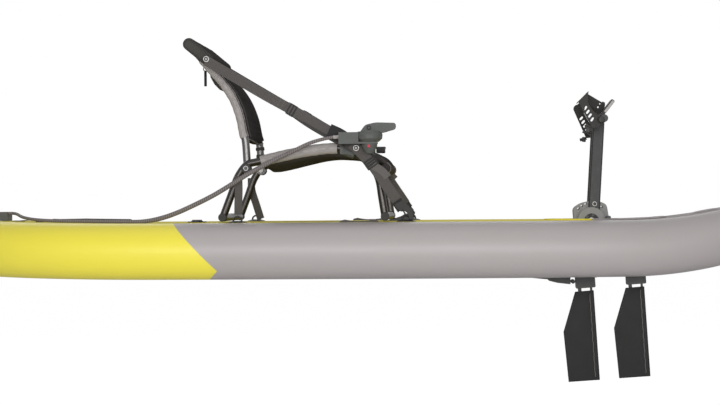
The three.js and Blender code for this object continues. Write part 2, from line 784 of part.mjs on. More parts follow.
function seatTubes() {
  const footHalfWidth = seatHalfWidth + footLength / 2;
  const frontX = alongSeat(1);
  const feet = (x) => [-1, 1].map((sign) => rod(
    vector(x, sign * (seatHalfWidth - footLength / 2), deckTubeZ), vector(x, sign * footHalfWidth, deckTubeZ),
    footRadius));
  const bars = [['seat_rear_bar', seatFootX], ['seat_front_bar', frontX]].map(([name, x]) => {
    const bar = join(crossBar(x, deckTubeZ, seatTubeRadius, footHalfWidth - seatTubeRadius), ...feet(x));
    return [name, bar];
  });
  bars.forEach(([name, bar]) => addPiece(name, bar, colours.metal, 0.35, 0.8));
  const [barX, barZ] = [alongSeat(frontBarShare[0]), upSeat(frontBarShare[1])];
  const frontBar = crossBar(barX, barZ, seatTubeRadius, seatHalfWidth);
  [['right', -1], ['left', 1]].forEach(([side, sign]) => {
    const y = sign * seatHalfWidth;
    const coping = [seatFootX, frontX].map((x) => rod(
      vector(x, y - footLength, deckTubeZ), vector(x, y + footLength, deckTubeZ), footRadius + gap));
    const pivotHole = rod(
      vector(pivotX, y - footLength, pivotZ), vector(pivotX, y + footLength, pivotZ),
        boreFor(pivotBoltRadius),
      smallSides);
    const bend = tube(sideRoute(y), seatTubeRadius, sideTubeSteps, tubeSides);
    const half = box(alongSeat(-1), alongSeat(2), Math.min(0, sign * hullBeam), Math.max(0, sign * hullBeam),
      0, hullBeam);
    const withBar = side === 'right' ? join(bend, frontBar) : cut(
      bend, crossBar(barX, barZ, seatTubeRadius + gap, seatHalfWidth + gap));
    const trimmed = side === 'right' ? withBar : overlap(withBar, half);
    addPiece(`seat_side_tube_${side}`, cut(trimmed, ...coping, pivotHole), colours.metal, 0.35, 0.8);
  });
}

// Back frame: one hoop from pivot to pivot, bent over the shoulders
const hoopPoint = ([aft, up], y) => vector(pivotX - aft * backRise, y, pivotZ + up * backRise);
const hoopTopX = pivotX - hoopShares[hoopShares.length - 1][0] * backRise;
const hoopTopZ = pivotZ + hoopShares[hoopShares.length - 1][1] * backRise;

function hoopRoute(sign) {
  const side = hoopShares.slice(0, -1).map((share) => hoopPoint(share, sign * backHalfWidth));
  return [...side, vector(hoopTopX, sign * (backHalfWidth - hoopCorner / 3), hoopTopZ)];
}

function hoopTube(radius) {
  const top = vector(hoopTopX, 0, hoopTopZ + seatTubeRadius / 4);
  const route = [...hoopRoute(1), top, ...hoopRoute(-1).reverse()];
  return tube(route, radius, hoopSteps, tubeSides);
}

function backFrame() {
  const eye = (sign) => rod(
    vector(pivotX, sign * (backHalfWidth - seatTubeRadius), pivotZ),
    vector(pivotX, sign * (backHalfWidth + seatTubeRadius), pivotZ), seatTubeRadius + 2);
  const pivotHole = rod(
    vector(pivotX, -seatHalfWidth, pivotZ), vector(pivotX, seatHalfWidth, pivotZ), boreFor(pivotBoltRadius),
      smallSides);
  addPiece('back_frame', cut(join(hoopTube(seatTubeRadius), eye(1), eye(-1)), pivotHole), colours.metal,
    0.35, 0.8);
  [['right', -1], ['left', 1]].forEach(([side, sign]) => {
    const inner = backHalfWidth - seatTubeRadius - gap;
    const outer = seatHalfWidth + seatTubeRadius + gap;
    const along = (from, to, radius) => rod(
      vector(pivotX, sign * from, pivotZ), vector(pivotX, sign * to, pivotZ), radius, smallSides);
    const bolt = join(
      along(inner - pivotHeadHeight, outer + pivotHeadHeight, pivotBoltRadius),
      along(outer, outer + pivotHeadHeight, pivotHeadRadius),
      along(inner - pivotHeadHeight, inner, pivotHeadRadius));
    addPiece(`pivot_bolt_${side}`, bolt, colours.metal, 0.3, 0.9);
  });
}

// Cushion section: a padded sheet across the seat with sewn channels and a sleeve round each side tube.
function cushionSection({ halfWidth, edge, middle, sag, crown, channels, groove, across }) {
  const top = [];
  const bottom = [];
  for (let i = 0; i <= across; i += 1) {
    const t = -1 + 2 * i / across;
    const y = halfWidth * Math.sin(t * Math.PI / 2);
    const inside = 1 - (y / halfWidth) ** 2;
    const sewn = groove * (Math.abs(Math.cos(channels * Math.PI * y / halfWidth / 2)) ** seamSharpness);
    const round = Math.sqrt(Math.max(0, 1 - Math.abs(t) ** seamSharpness));
    const half = (edge + (middle - edge) * inside) * round;
    top.push([y, half + crown * inside - sewn * round - sag * inside]);
    bottom.push([y, -half - sag * inside]);
  }
  return [...top, ...bottom.slice(1, -1).reverse()];
}

function seatCushion() {
  const line = new THREE.CatmullRomCurve3(
    cushionLineShares.map((share) => seatPoint(share, 0)), false, 'centripetal');
  const rings = [];
  for (let i = 0; i <= cushionStations; i += 1) {
    const t = i / cushionStations;
    const centre = line.getPointAt(t);
    const along = line.getTangentAt(t);
    const normal = vector(-along.z, 0, along.x);
    const nearEnd = Math.min(1, cushionEndShare + seamSharpness * Math.min(t, 1 - t));
    const section = cushionSection({
      halfWidth: cushionInnerHalfWidth - (1 - nearEnd) * cushionSag,
      edge: cushionThickness / 3 * nearEnd,
      middle: cushionThickness / 2 * nearEnd,
      sag: cushionSag * Math.sin(Math.PI * Math.min(1, t / cushionSagEnd)),
      crown: cushionChannelDepth,
      channels: cushionChannelCount,
      groove: cushionChannelDepth,
      across: cushionAcross,
    });
    rings.push(section.map(([y, n]) => centre.clone().add(vector(0, y, 0)).addScaledVector(normal, n)));
  }
  const pad = loft(rings);
  const reach = (one, other) => box(
    cushionRear, cushionSleeveEnd, Math.min(one, other), Math.max(one, other), deckTubeZ, hullBeam);
  const sleeves = [-1, 1].map((sign) => {
    const y = sign * seatHalfWidth;
    const whole = tube(sideRoute(y), cushionSleeveRadius, sideTubeSteps, tubeSides);
    const bridgeFrom = sign * (cushionInnerHalfWidth - cushionThickness / 2);
    const bridge = sidePlate(new THREE.Shape(tubeBand(cushionThickness / 4)), Math.min(bridgeFrom, y),
      Math.max(bridgeFrom, y));
    return join(overlap(whole, reach(y - 2 * cushionSag, y + 2 * cushionSag)),
      overlap(bridge, reach(bridgeFrom, y)));
  });
  const bores = [-1, 1].map((sign) => tube(
    sideRoute(sign * seatHalfWidth), seatTubeRadius + gap, sideTubeSteps, tubeSides));
  addPiece('seat_cushion', cut(join(pad, ...sleeves), ...bores), colours.sleeveGrey, 0.95);
}

// Side-view band that follows the upper run of a side tube, for the cloth between sleeve and pad.
function tubeBand(half) {
  const run = sideTubeShares.slice(4, 9).map((share) => seatPoint(share, 0));
  const side = (offset) => run.map(({ x, z }) => new THREE.Vector2(x, z + offset));
  return [...side(half), ...side(-half).reverse()];
}

// Back cushion: a padded panel between the hoop's sides, sleeved round them, with a fuller front
const hoopLine = new THREE.CatmullRomCurve3(hoopShares.map((share) => hoopPoint(share, 0)), false,
  'centripetal');

function backStation(t) {
  const centre = hoopLine.getPointAt(t);
  const along = hoopLine.getTangentAt(t);
  return { centre, forward: vector(along.z, 0, -along.x) };
}

const rollStart = vector(strapTopX, 0, strapTopZ);
const rollEnd = vector(hoopTopX, 0, hoopTopZ);

function rollGeometry(radius, halfWidth) {
  const along = rollEnd.clone().sub(rollStart);
  const lean = Math.atan2(along.z, along.x);
  const corners = [[rollEnd, lean - Math.PI / 2],
    [rollStart, lean + Math.PI / 2]].flatMap(([middle, from]) => (
    Array.from({ length: arcSteps + 1 }, (_, i) => {
      const angle = from + i / arcSteps * Math.PI;
      return new THREE.Vector2(middle.x + radius * Math.cos(angle), middle.z + radius * Math.sin(angle));
    })));
  return sidePlate(new THREE.Shape(corners), -halfWidth, halfWidth);
}

const backReach = backHalfWidth + backSleeveRadius;
const backInside = (y) => 1 - (y / backReach) ** 2;

// How far the cushion's rear face stands behind the hoop's middle line.
function backRear(y) {
  const full = Math.min(1, 2 * arcSteps * backInside(y));
  return backSleeveRadius * (backEdgeShare + (1 - backEdgeShare) * full - backInside(y) / 2);
}

function backCushion() {
  const rings = [];
  const [from, to] = backCushionShares;
  const edge = backSleeveRadius * backEdgeShare;
  for (let i = 0; i <= backStations; i += 1) {
    const t = i / backStations;
    const { centre, forward } = backStation(from + (to - from) * t);
    const soft = Math.min(1, backEndShares[0] + 3 * t, backEndShares[1] + 3 * (1 - t));
    const rear = [];
    const front = [];
    for (let k = 0; k <= backAcross; k += 1) {
      const y = backReach * Math.sin((k / backAcross - 0.5) * Math.PI);
      const inside = backInside(y);
      const seam = Math.abs(Math.cos(backChannelCount * Math.PI * y / backReach / 2)) ** seamSharpness;
      const full = Math.min(1, 4 * inside);
      rear.push([y, -backRear(y)]);
      front.push([y, edge + (backDepth - edge) * full * soft - backChannelDepth * seam * inside]);
    }
    rings.push([...rear, ...front.slice(1, -1).reverse()].map(([y, n]) => (
      centre.clone().add(vector(0, y, 0)).addScaledVector(forward, n))));
  }
  const pad = cut(loft(rings), hoopTube(seatTubeRadius + gap),
    rollGeometry(rollRadius + gap, rollHalfWidth + gap));
  addPiece('back_cushion', pad, colours.sleeveGrey, 0.95);
  addPiece('back_top_roll', cut(rollGeometry(rollRadius, rollHalfWidth), hoopTube(seatTubeRadius + gap)),
    colours.black, 0.4);
}

function backPocket() {
  const behind = backRear(pocketWidth / 2) + gap;
  const face = (depth) => pocketShares.map(([t, bulge]) => {
    const { centre, forward } = backStation(t);
    return centre.clone().addScaledVector(forward, -behind - depth * bulge);
  });
  const outline = [...face(0), ...face(pocketDepth).reverse()].map(({ x, z }) => new THREE.Vector2(x, z));
  addPiece('back_pocket', sidePlate(new THREE.Shape(outline), -pocketWidth / 2, pocketWidth / 2),
    colours.black, 0.9);
  const { centre, forward } = backStation(pullShare);
  const hook = centre.clone().addScaledVector(forward, -behind - wire / 2 - pullRing);
  hook.y = -pocketWidth / 2 + pullRing;
  const ring = new THREE.TorusGeometry(pullRing, wire / 2, thinSides, roundSides)
    .rotateX(Math.PI / 2).translate(hook.x, hook.y, hook.z);
  const top = hook.clone().add(vector(0, 0, -pullRing + wire / 2));
  const bottom = top.clone().add(vector(0, 0, -pullLength));
  addPiece('zipper_pull', join(ring, rod(top, bottom, pullRadius, smallSides)), colours.black, 0.6);
}

// Webbing of the seat
function straps() {
  [['right', -1], ['left', 1]].forEach(([side, sign]) => {
    const flat = (points, width, lift = 0) => {
      const near = strapY + lift;
      const far = near + webbingThickness;
      return sideBand(points, width, Math.min(sign * near, sign * far), Math.max(sign * near, sign * far));
    };
    const buckle = ([x, z], [towardsX, towardsZ]) => {
      const along = new THREE.Vector2(towardsX - x, towardsZ - z).setLength(buckleLength / 2);
      const near = strapY - buckleHeight / 3;
      const far = near + buckleHeight;
      return sideBand([[x - along.x, z - along.y], [x + along.x, z + along.y]], webbing + wire,
        Math.min(sign * near, sign * far), Math.max(sign * near, sign * far));
    };
    const hole = rod(vector(boltX, sign * seatHalfWidth, boltZ),
      vector(boltX, 2 * sign * seatHalfWidth, boltZ),
      ringBoltRadius / 2 + gap, smallSides);
    const top = [strapTopX, strapTopZ];
    const bolt = [boltX, boltZ];
    const between = (from, to, shares) => from.map((value, k) => value + (to[k] - value) * shares[k]);
    const middle = between(top, bolt, [buckleShare, buckleShare]);
    addPiece(`side_strap_${side}`, cut(join(flat([top, middle, [boltX + webbing / 3, boltZ - webbing / 5]],
      webbing),
      buckle(middle, bolt)), hole), colours.webbing, 0.9);
    const hook = [frontTieX, hullThickness + patchHeight + dRingRadius + wire + webbing / 3];
    const knee = between(bolt, hook, kneeShare);
    const low = between(bolt, hook, lowerEndShare);
    const lift = webbingThickness + gap;
    const strapEnd = sideBand([low, hook], webbing * 0.8,
      Math.min(sign * (strapY + lift), sign * (strapY + lift + buckleHeight)),
      Math.max(sign * (strapY + lift), sign * (strapY + lift + buckleHeight)));
    addPiece(`front_strap_${side}`, cut(join(flat([[boltX - webbing / 4, boltZ + webbing / 5], knee, low],
      webbing,
      lift), strapEnd), hole), colours.webbing, 0.9);
    const rearTop = [pivotX - seatTubeRadius * 2, pivotZ - seatTubeRadius * 2];
    const rearHook = [rearTieX, hullThickness + patchHeight + dRingRadius + wire + gap];
    const loopY = seatHalfWidth + seatTubeRadius + gap;
    addPiece(`rear_strap_${side}`, sideBand([rearTop, rearHook], narrowWebbing,
      Math.min(sign * loopY, sign * (loopY + webbingThickness)),
      Math.max(sign * loopY, sign * (loopY + webbingThickness))), colours.webbing, 0.9);
  });
}

// Mounts on the side tubes: a clamp, an upright plate and a block; the starboard one carries the steering
// handle.
const mountFloorZ = handleBaseZ - gap - mountPlate;

const blockY = strapY + 2 * webbingThickness + 3 * gap;

function railMount(sign, front) {
  const clampAt = seatPoint(clampShare, sign * seatHalfWidth);
  const [rearOf, frontOf] = sideTubeSlope.map((k) => seatPoint(sideTubeShares[k], 0));
  const along = frontOf.sub(rearOf).setLength(clampLength / 2);
  const clamp = rod(clampAt.clone().sub(along), clampAt.clone().add(along), clampRadius);
  const plateY = seatHalfWidth + clampRadius / 2;
  const across = (from, to) => [Math.min(sign * from, sign * to), Math.max(sign * from, sign * to)];
  const upright = box(mountRear, boltX + webbing, ...across(plateY, plateY + mountPlate),
    clampAt.z - clampRadius / 2, mountFloorZ + mountPlate);
  const floor = box(boltX + webbing / 2 + gap, front, ...across(plateY, steerY + mountWidth / 2), mountFloorZ,
    mountFloorZ + mountPlate);
  const headY = blockY - gap;
  const bolt = rod(vector(boltX, sign * (plateY + mountPlate / 2), boltZ),
    vector(boltX, sign * (headY + webbingThickness), boltZ), ringBoltRadius / 2, smallSides);
  const head = rod(vector(boltX, sign * headY, boltZ),
    vector(boltX, sign * (headY + webbingThickness), boltZ),
    ringBoltRadius);
  return cut(join(clamp, upright, floor, bolt, head),
    tube(sideRoute(sign * seatHalfWidth), seatTubeRadius + gap,
    sideTubeSteps, tubeSides));
}

function mounts() {
  const discRoom = handleDiscRadius + runningGap;
  const block = box(mountRear, boltX + handleDiscRadius / 2, -steerY - mountWidth / 2, -blockY, mountFloorZ,
    mountTopZ);
  const room = rod(vector(steerX, -steerY, handleBaseZ - gap),
    vector(steerX, -steerY, mountTopZ + cutOverrun),
    discRoom, 2 * roundSides);
  const cup = turned([
    [0, -cupDepth], [cupRadius / 2, -cupDepth], [cupRadius, -cupDepth / 3], [cupRadius, 0], [0, 0],
  ]).translate(steerX, -steerY, mountFloorZ + mountPlate / 2);
  addPiece('steering_bracket', join(railMount(-1, steerX + cupRadius), cut(block, room), cup),
    colours.darkPlastic, 0.6);
  const pad = box(mountRear, steerX + cupRadius, blockY, steerY + mountWidth / 2, mountFloorZ,
    mountFloorZ + mountPlate);
  addPiece('accessory_mount_left', join(railMount(1, steerX + cupRadius), pad), colours.darkPlastic, 0.6);
}

function steeringHandle() {
  const disc = turned(scaled(discShares, handleDiscRadius, handleDiscHeight), 2 * roundSides);
  const rise = gripTop - handleDiscHeight;
  const grip = sidePlate(roundedShape([
    [-handleDiscRadius * 0.8, handleDiscHeight * 0.8],
    [-handleDiscRadius * 0.3, handleDiscHeight + rise * 0.75],
    [handleDiscRadius * 0.5, gripTop], [gripReach, gripTop - cutOverrun],
    [gripReach, handleDiscHeight + rise * 0.25],
    [handleDiscRadius, handleDiscHeight * 0.85], [0, handleDiscHeight * 0.8],
  ], gripWidth / 3), -gripWidth / 2, gripWidth / 2);
  const screw = rod(vector(0, 0, gripTop - rise * 0.5), vector(0, 0, gripTop + cutOverrun), ringBoltRadius,
    smallSides);
  addPiece('steering_handle', cut(join(disc, grip), screw).translate(steerX, -steerY, handleBaseZ),
    colours.darkPlastic, 0.6);
}

// Conduit from the steering bracket to the stern, lying on the stern deck
const deckConduitZ = hullThickness + conduitRadius + flangeGap;

function conduit() {
  const from = vector(mountRear - gap, -steerY, (handleBaseZ + mountTopZ) / 2);
  const stopFront = sternStopX + sternStopHeight / 2 + gap;
  const points = conduitShares.map(([aft, out, up]) => vector(
    from.x + (stopFront - from.x) * aft, -steerY * out, deckConduitZ + (from.z - deckConduitZ) * up));
  addPiece('steering_conduit', tube(points, conduitRadius, conduitSteps, smallSides), colours.conduit, 0.8);
}

// Stern bracket, hugging the stern, with a cable stop on top and two lugs for the pintle
function sternSection(radius, fromDegrees, toDegrees, count) {
  return Array.from({ length: count + 1 }, (_, i) => {
    const angle = (fromDegrees + (toDegrees - fromDegrees) * i / count) * radians;
    const reach = railRadius + radius;
    const x = -insetHalfLength - reach * Math.cos(angle);
    return new THREE.Vector2(x, railRadius + reach * Math.sin(angle) + rockerAt(Math.max(x,
      -hullLength / 2)));
  });
}

function lugShape(radius) {
  const wall = sternStopX - sternStopHeight;
  return roundedShape([
    [wall, -sternBracketHalfWidth + bracketWall], [wall, sternBracketHalfWidth - bracketWall],
    [pintleX - radius, radius], [pintleX - radius, -radius],
  ], radius);
}

const lugRadius = pintleRadius * 3;
const sternStopBack = sternStopX - 1.1 * sternStopHeight;
const tailZ = hullThickness + rockerAt(-insetHalfLength) + bracketGap;

function stern() {
  const inner = sternSection(bracketGap, ...bracketDegrees, bracketSteps);
  const outer = sternSection(bracketGap + bracketWall, ...bracketDegrees, bracketSteps);
  const hug = sidePlate(new THREE.Shape([...inner, ...outer.reverse()]), -sternBracketHalfWidth,
    sternBracketHalfWidth);
  const keep = (geometry) => cut(geometry, sidePlate(new THREE.Shape([
    ...sternSection(bracketGap, -90, 90, bracketSteps), new THREE.Vector2(0, hullThickness),
      new THREE.Vector2(0, 0),
  ]), -hullBeam, hullBeam));
  const lugs = [lowerLugZ, upperLugZ].map((z) => keep(planPlate(lugShape(lugRadius), z, z + lugThickness)));
  const stop = keep(box(sternStopBack, sternStopX + sternStopHeight / 2,
    -sternBracketHalfWidth - conduitRadius * 2,
    sternBracketHalfWidth, hullThickness, tailZ + sternStopHeight));
  const hole = rod(vector(pintleX, 0, 0), vector(pintleX, 0, 2 * hullThickness), boreFor(pintleRadius),
    roundSides);
  addPiece('stern_bracket', cut(join(hug, ...lugs, stop), hole), colours.darkPlastic, 0.6);
  const pinTop = upperLugZ + lugThickness + gap;
  const pin = join(
    rod(vector(pintleX, 0, lowerLugZ - lugThickness), vector(pintleX, 0, pinTop + lugThickness / 2),
      pintleRadius),
    rod(vector(pintleX, 0, pinTop), vector(pintleX, 0, pinTop + lugThickness / 2), pintleRadius * 1.8));
  addPiece('rudder_pintle', pin, colours.metal, 0.3, 0.9);
}

function rudder() {
  const bottom = lowerLugZ + lugThickness + gap;
  const top = upperLugZ - gap;
  const barrel = rod(vector(pintleX, 0, bottom), vector(pintleX, 0, top), lugRadius);
  const cheekOuter = bladeThickness / 2 + gap + cheekThickness;
  const cheekRadius = bladeChord / 4;
  const behind = pintleX - lugRadius - 2 * runningGap;
  const yoke = box(behind - bracketWall * 2, behind, -lugRadius, lugRadius, rudderPivotZ + cheekRadius,
    steerArmZ + lugThickness);
  const web = box(behind - bracketWall * 2, pintleX, -lugRadius / 2, lugRadius / 2,
    rudderPivotZ + cheekRadius + gap,
    top);
  const cheek = sidePlate(roundedShape([
    [rudderPivotX - cheekRadius, rudderPivotZ - cheekRadius],
    [rudderPivotX + cheekRadius, rudderPivotZ - cheekRadius],
    [behind, rudderPivotZ + cheekRadius * 1.6],
    [rudderPivotX - cheekRadius, rudderPivotZ + cheekRadius * 1.6],
  ], cheekRadius / 2), -cheekOuter, cheekOuter);
  const slotHalf = bladeThickness / 2 + gap;
  const slot = box(rudderPivotX - hullBeam, rudderPivotX + cheekRadius * 2, -slotHalf, slotHalf, 0,
    rudderPivotZ + cheekRadius + lugThickness);
  const upperSlot = box(rudderPivotX - hullBeam, behind - bracketWall * 2 - gap, -slotHalf, slotHalf, 0,
    upperLugZ);
  const arms = planPlate(roundedShape([
    [pintleX - lugRadius, -steerArmReach - lugRadius / 2],
    [pintleX + lugRadius / 2, -steerArmReach - lugRadius / 2],
    [pintleX + lugRadius, 0], [pintleX + lugRadius / 2, steerArmReach + lugRadius / 2],
    [pintleX - lugRadius, steerArmReach + lugRadius / 2], [behind - bracketWall * 2, 0],
  ], lugRadius / 2), steerArmZ, steerArmZ + lugThickness);
  const bore = rod(vector(pintleX, 0, 0), vector(pintleX, 0, upperLugZ), boreFor(pintleRadius));
  const pivotHole = rod(vector(rudderPivotX, -hullBeam, rudderPivotZ),
    vector(rudderPivotX, hullBeam, rudderPivotZ),
    boreFor(pivotBoltRadius), smallSides);
  const head = cut(join(barrel, yoke, web, cheek, arms), slot, upperSlot, bore, pivotHole);
  addPiece('rudder_head', head, colours.darkPlastic, 0.6);
  const bladeShape = roundedShape(
    scaled(bladeShares, bladeChord, bladeLength).map(([x, z]) => [rudderPivotX + x, rudderPivotZ + z]),
      cheekRadius);
  addPiece('rudder_blade', cut(sidePlate(bladeShape, -bladeThickness / 2, bladeThickness / 2), pivotHole),
    colours.black, 0.5);
  const boltReach = cheekOuter + gap;
  const across = (from, to, radius) => rod(
    vector(rudderPivotX, from, rudderPivotZ), vector(rudderPivotX, to, rudderPivotZ), radius, smallSides);
  addPiece('rudder_bolt', join(
    across(-boltReach - pivotHeadHeight, boltReach + pivotHeadHeight, pivotBoltRadius),
    across(-boltReach - pivotHeadHeight, -boltReach, pivotHeadRadius),
    across(boltReach, boltReach + pivotHeadHeight, pivotHeadRadius)), colours.metal, 0.3, 0.9);
  const lineZ = steerArmZ + lugThickness + gap + lineRadius;
  const lineFront = sternStopBack - gap - 2 * lineRadius;
  const lines = [-1, 1].map((sign) => rod(vector(lineFront, sign * (sternBracketHalfWidth - lineRadius),
    lineZ),
    vector(pintleX, sign * steerArmReach, lineZ), lineRadius, thinSides));
  const cross = rod(vector(lineFront, -sternBracketHalfWidth, lineZ),
    vector(lineFront, sternBracketHalfWidth, lineZ),
    lineRadius, thinSides);
  addPiece('steering_lines', join(...lines, cross), colours.conduit, 0.8);
}

// Drive: everything here is drawn in the raked frame of the crank axis
const drive = new THREE.Group();
drive.position.set(crankX, 0, crankZ);
drive.rotation.y = -rakeDegrees * radians;
kayak.add(drive);
drive.updateMatrix();

const across = (x, z, fromY, toY, radius, sides = roundSides) => rod(
  vector(x, fromY, z), vector(x, toY, z), radius, sides);
const lengthways = (z, fromX, toX, radius, sides = roundSides) => rod(
  vector(fromX, 0, z), vector(toX, 0, z), radius, sides);
const lathedAcross = (profile, sides = drumSides) => new THREE.LatheGeometry(
  profile.map(([radius, y]) => new THREE.Vector2(radius, y)), sides);

const plateFrom = drumInner + cableDrumWidth;
const plateTo = plateFrom + drumPlateThickness;
const armFrom = plateTo + runningGap;
const armTo = armFrom + armThickness;
const coverFrom = armTo + runningGap;
const coverTo = coverFrom + coverThickness;

function drum() {
  const rim = cableDrumRadius + wire;
  const groove = cableDrumRadius - cableRadius - gap;
  const middle = drumInner + cableDrumWidth / 2;
  const wheel = lathedAcross([
    [0, drumInner], [rim, drumInner], [rim, drumInner + wire / 3], [groove, middle - cableRadius - gap],
    [groove, middle + cableRadius + gap], [rim, plateFrom - wire / 2], [rim, plateFrom + wire / 2],
    [0, plateFrom + wire / 2],
  ]);
  const plate = sidePlate(roundedShape(scaled(drumOutlineShares, drumRadius), drumRadius / 6), plateFrom,
    plateTo);
  const cover = sidePlate(circleShape(coverRadius, drumSides), coverFrom, coverTo);
  const bosses = coverBossDegrees.map((degrees) => across(
    (coverRadius - 2 * coverBossRadius) * Math.sin(degrees * radians),
    (coverRadius - 2 * coverBossRadius) * Math.cos(degrees * radians),
    plateTo - wire / 2, coverFrom + wire / 2, coverBossRadius, smallSides));
  const holes = Array.from({ length: indexHoleCount }, (_, i) => {
    const angle = (i - (indexHoleCount - 1) / 2) * indexStepDegrees * radians;
    return across(indexCircleRadius * Math.sin(angle), indexCircleRadius * Math.cos(angle),
      plateFrom - cutOverrun, plateTo + cutOverrun, indexHoleRadius, smallSides);
  });
  const window = across(0, 0, coverFrom - gap, coverTo + cutOverrun, coverBore, drumSides);
  const bore = across(0, 0, 0, coverTo + cutOverrun, boreFor(shaftRadius));
  return cut(join(wheel, plate, cover, ...bosses), ...holes, window, bore);
}

function crankArm() {
  const left = armOffset - armWidth / 2;
  const right = armOffset + armWidth / 2;
  const outline = roundedShape([
    [left + armEdge, 0], [right - armEdge, 0], [right - armEdge, pedalRise],
    [left + armEdge, pedalRise - armWidth / 4],
  ], armWidth / 3);
  const bar = new THREE.ExtrudeGeometry(outline, {
    depth: armThickness - 2 * armEdge, bevelThickness: armEdge, bevelSize: armEdge, bevelSegments: 1,
    curveSegments: cornerSegments,
  }).rotateX(Math.PI / 2).translate(0, armTo - armEdge, 0);
  const foot = across(0, 0, armFrom, armTo, armFootRadius);
  const boss = across(pedalForward, pedalRise, armFrom, armTo + armEdge, spindleBoss);
  const spindleEnd = pedalInner + strapSheet * 2 + pedalWidth + gap * 3;
  const spindle = across(pedalForward, pedalRise, armFrom, spindleEnd + knobWidth, spindleRadius);
  const knob = across(pedalForward, pedalRise, spindleEnd, spindleEnd + knobWidth, knobRadius);
  const pinAngle = (indexStepDegrees - rakeDegrees - armLeanDegrees) * radians;
  const pinPlace = [indexCircleRadius * Math.sin(pinAngle), indexCircleRadius * Math.cos(pinAngle)];
  const pin = across(...pinPlace, armFrom, armTo + indexKnobHeight, indexKnobRadius, smallSides);
  const bore = across(0, 0, 0, coverTo + cutOverrun, boreFor(shaftRadius));
  return cut(join(bar, foot, boss, spindle, knob, pin), bore);
}

// In the pedal's frame u is along Z and n, out of the sole, is along -X.
const pedalPoints = (points) => points.map(([u, n]) => [-n, u]);

function pedal() {
  const from = pedalInner + strapSheet + gap;
  const to = from + pedalWidth;
  const soleTop = soleBottom + soleThickness;
  const sole = sidePlate(roundedShape(pedalPoints([
    [-pedalHeel, soleBottom], [pedalToe, soleBottom], [pedalToe, soleTop],
    [-pedalHeel + heelLipThickness, soleTop],
    [-pedalHeel + heelLipThickness, soleTop + heelLipHeight], [-pedalHeel, soleTop + heelLipHeight],
  ]), wire / 2), from, to);
  const slotPitch = (pedalToe + pedalHeel) / (soleSlotCount + 1);
  const slots = Array.from({ length: soleSlotCount }, (_, i) => {
    const u = -pedalHeel + slotPitch * (i + 1) + (i === 1 ? -slotPitch / 4 : 0);
    return box(-soleTop - cutOverrun, -soleBottom - soleThickness / 3, from + pedalWidth / 6,
      to - pedalWidth / 6,
      u - soleSlotWidth / 2, u + soleSlotWidth / 2);
  });
  const barrel = across(0, 0, from, to, pedalBarrelRadius);
  const bore = across(0, 0, 0, to + cutOverrun, boreFor(spindleRadius));
  return cut(join(sole, barrel), ...slots, bore);
}

function footStrap() {
  const inner = pedalInner;
  const outer = pedalInner + 2 * strapSheet + 2 * gap + pedalWidth;
  const leg = (shares, fromY) => sidePlate(
    roundedShape(pedalPoints(scaled(shares, strapRise)), strapSheet * 2), fromY, fromY + strapSheet);
  const arch = (inset) => {
    const top = strapRise - inset;
    const foot = strapRise / 5;
    return roundedShape([
      [-foot, inner + inset], [-top, inner + inset], [-top, outer - inset], [-foot, outer - inset],
    ], strapCorner - inset);
  };
  const shell = planPlate(arch(0), strapHeel, strapToe);
  const room = planPlate(arch(strapSheet), strapHeel - cutOverrun, strapToe + cutOverrun);
  const belowArch = box(-strapRise + strapCorner, 0, inner - cutOverrun, outer + cutOverrun,
    strapHeel - cutOverrun,
    strapToe + cutOverrun);
  const holes = strapHoles.map(([k, n]) => across(
    -n * strapRise, k * strapHolePitch, inner - cutOverrun, inner + strapSheet + cutOverrun, strapHoleRadius,
    thinSides));
  const slots = outerSlotShares.map(([u, n]) => box(
    -n * strapRise - strapSlotWidth / 2, -n * strapRise + strapSlotWidth / 2, outer - strapSheet - cutOverrun,
    outer + cutOverrun, u * strapRise - strapSlotLength / 2, u * strapRise + strapSlotLength / 2));
  const top = cut(shell, room, belowArch);
  return cut(join(top, leg(innerLegShares, inner), leg(outerLegShares, outer - strapSheet)), ...holes,
    ...slots);
}

function drumsAndArms() {
  const parts = [['drum', drum(), colours.drumGrey, 0.5, 0.1], ['arm', crankArm(), colours.armGrey, 0.5, 0.2],
    ['pedal', pedal(), colours.black, 0.6, 0], ['strap', footStrap(), colours.darkPlastic, 0.7, 0]];
  const tilts = { right: rightPedalTiltDegrees, left: leftPedalTiltDegrees };
  [['right', (geometry) => mirrored(geometry)], ['left', (geometry) => geometry]].forEach(([side, place]) => {
    const [drumPart, armPart, pedalPart, strapPart] = parts.map(([, geometry]) => place(geometry));
    addPiece(`${side}_drum`, drumPart, colours.drumGrey, 0.5, 0.1, drive);
    const armFrame = new THREE.Group();
    armFrame.rotation.y = (rakeDegrees + armLeanDegrees) * radians;
    drive.add(armFrame);
    addPiece(`${side}_crank_arm`, armPart, colours.armGrey, 0.5, 0.2, armFrame);
    const pedalFrame = new THREE.Group();
    pedalFrame.position.set(pedalForward, 0, pedalRise);
    pedalFrame.rotation.y = (tilts[side] - armLeanDegrees) * radians;
    armFrame.add(pedalFrame);
    addPiece(`${side}_pedal`, pedalPart, colours.black, 0.6, 0, pedalFrame);
    addPiece(`${side}_foot_strap`, strapPart, colours.darkPlastic, 0.7, 0, pedalFrame);
  });
}

// Mast hubs with their sprockets and masts, and the fins that hang on the masts.
// A sprocket has a core under the chain between two toothed plates.
const chainWidth = sprocketWidth - 2 * chainPlate - 2 * gap;
const sprocketCore = sprocketRadius * Math.cos(Math.PI / sprocketTeethCount) - chainHeight / 2 - gap;

function toothedPlate(fromX) {
  const teeth = Array.from({ length: sprocketTeethCount * 2 }, (_, i) => {
    const angle = (i + 0.5) * Math.PI / sprocketTeethCount;
    const reach = i % 2 === 0 ? sprocketRadius + chainPlate : sprocketRadius - chainPlate;
    return new THREE.Vector2(reach * Math.cos(angle), reach * Math.sin(angle));
  });
  return endPlate(new THREE.Shape(teeth), fromX, fromX + chainPlate);
}

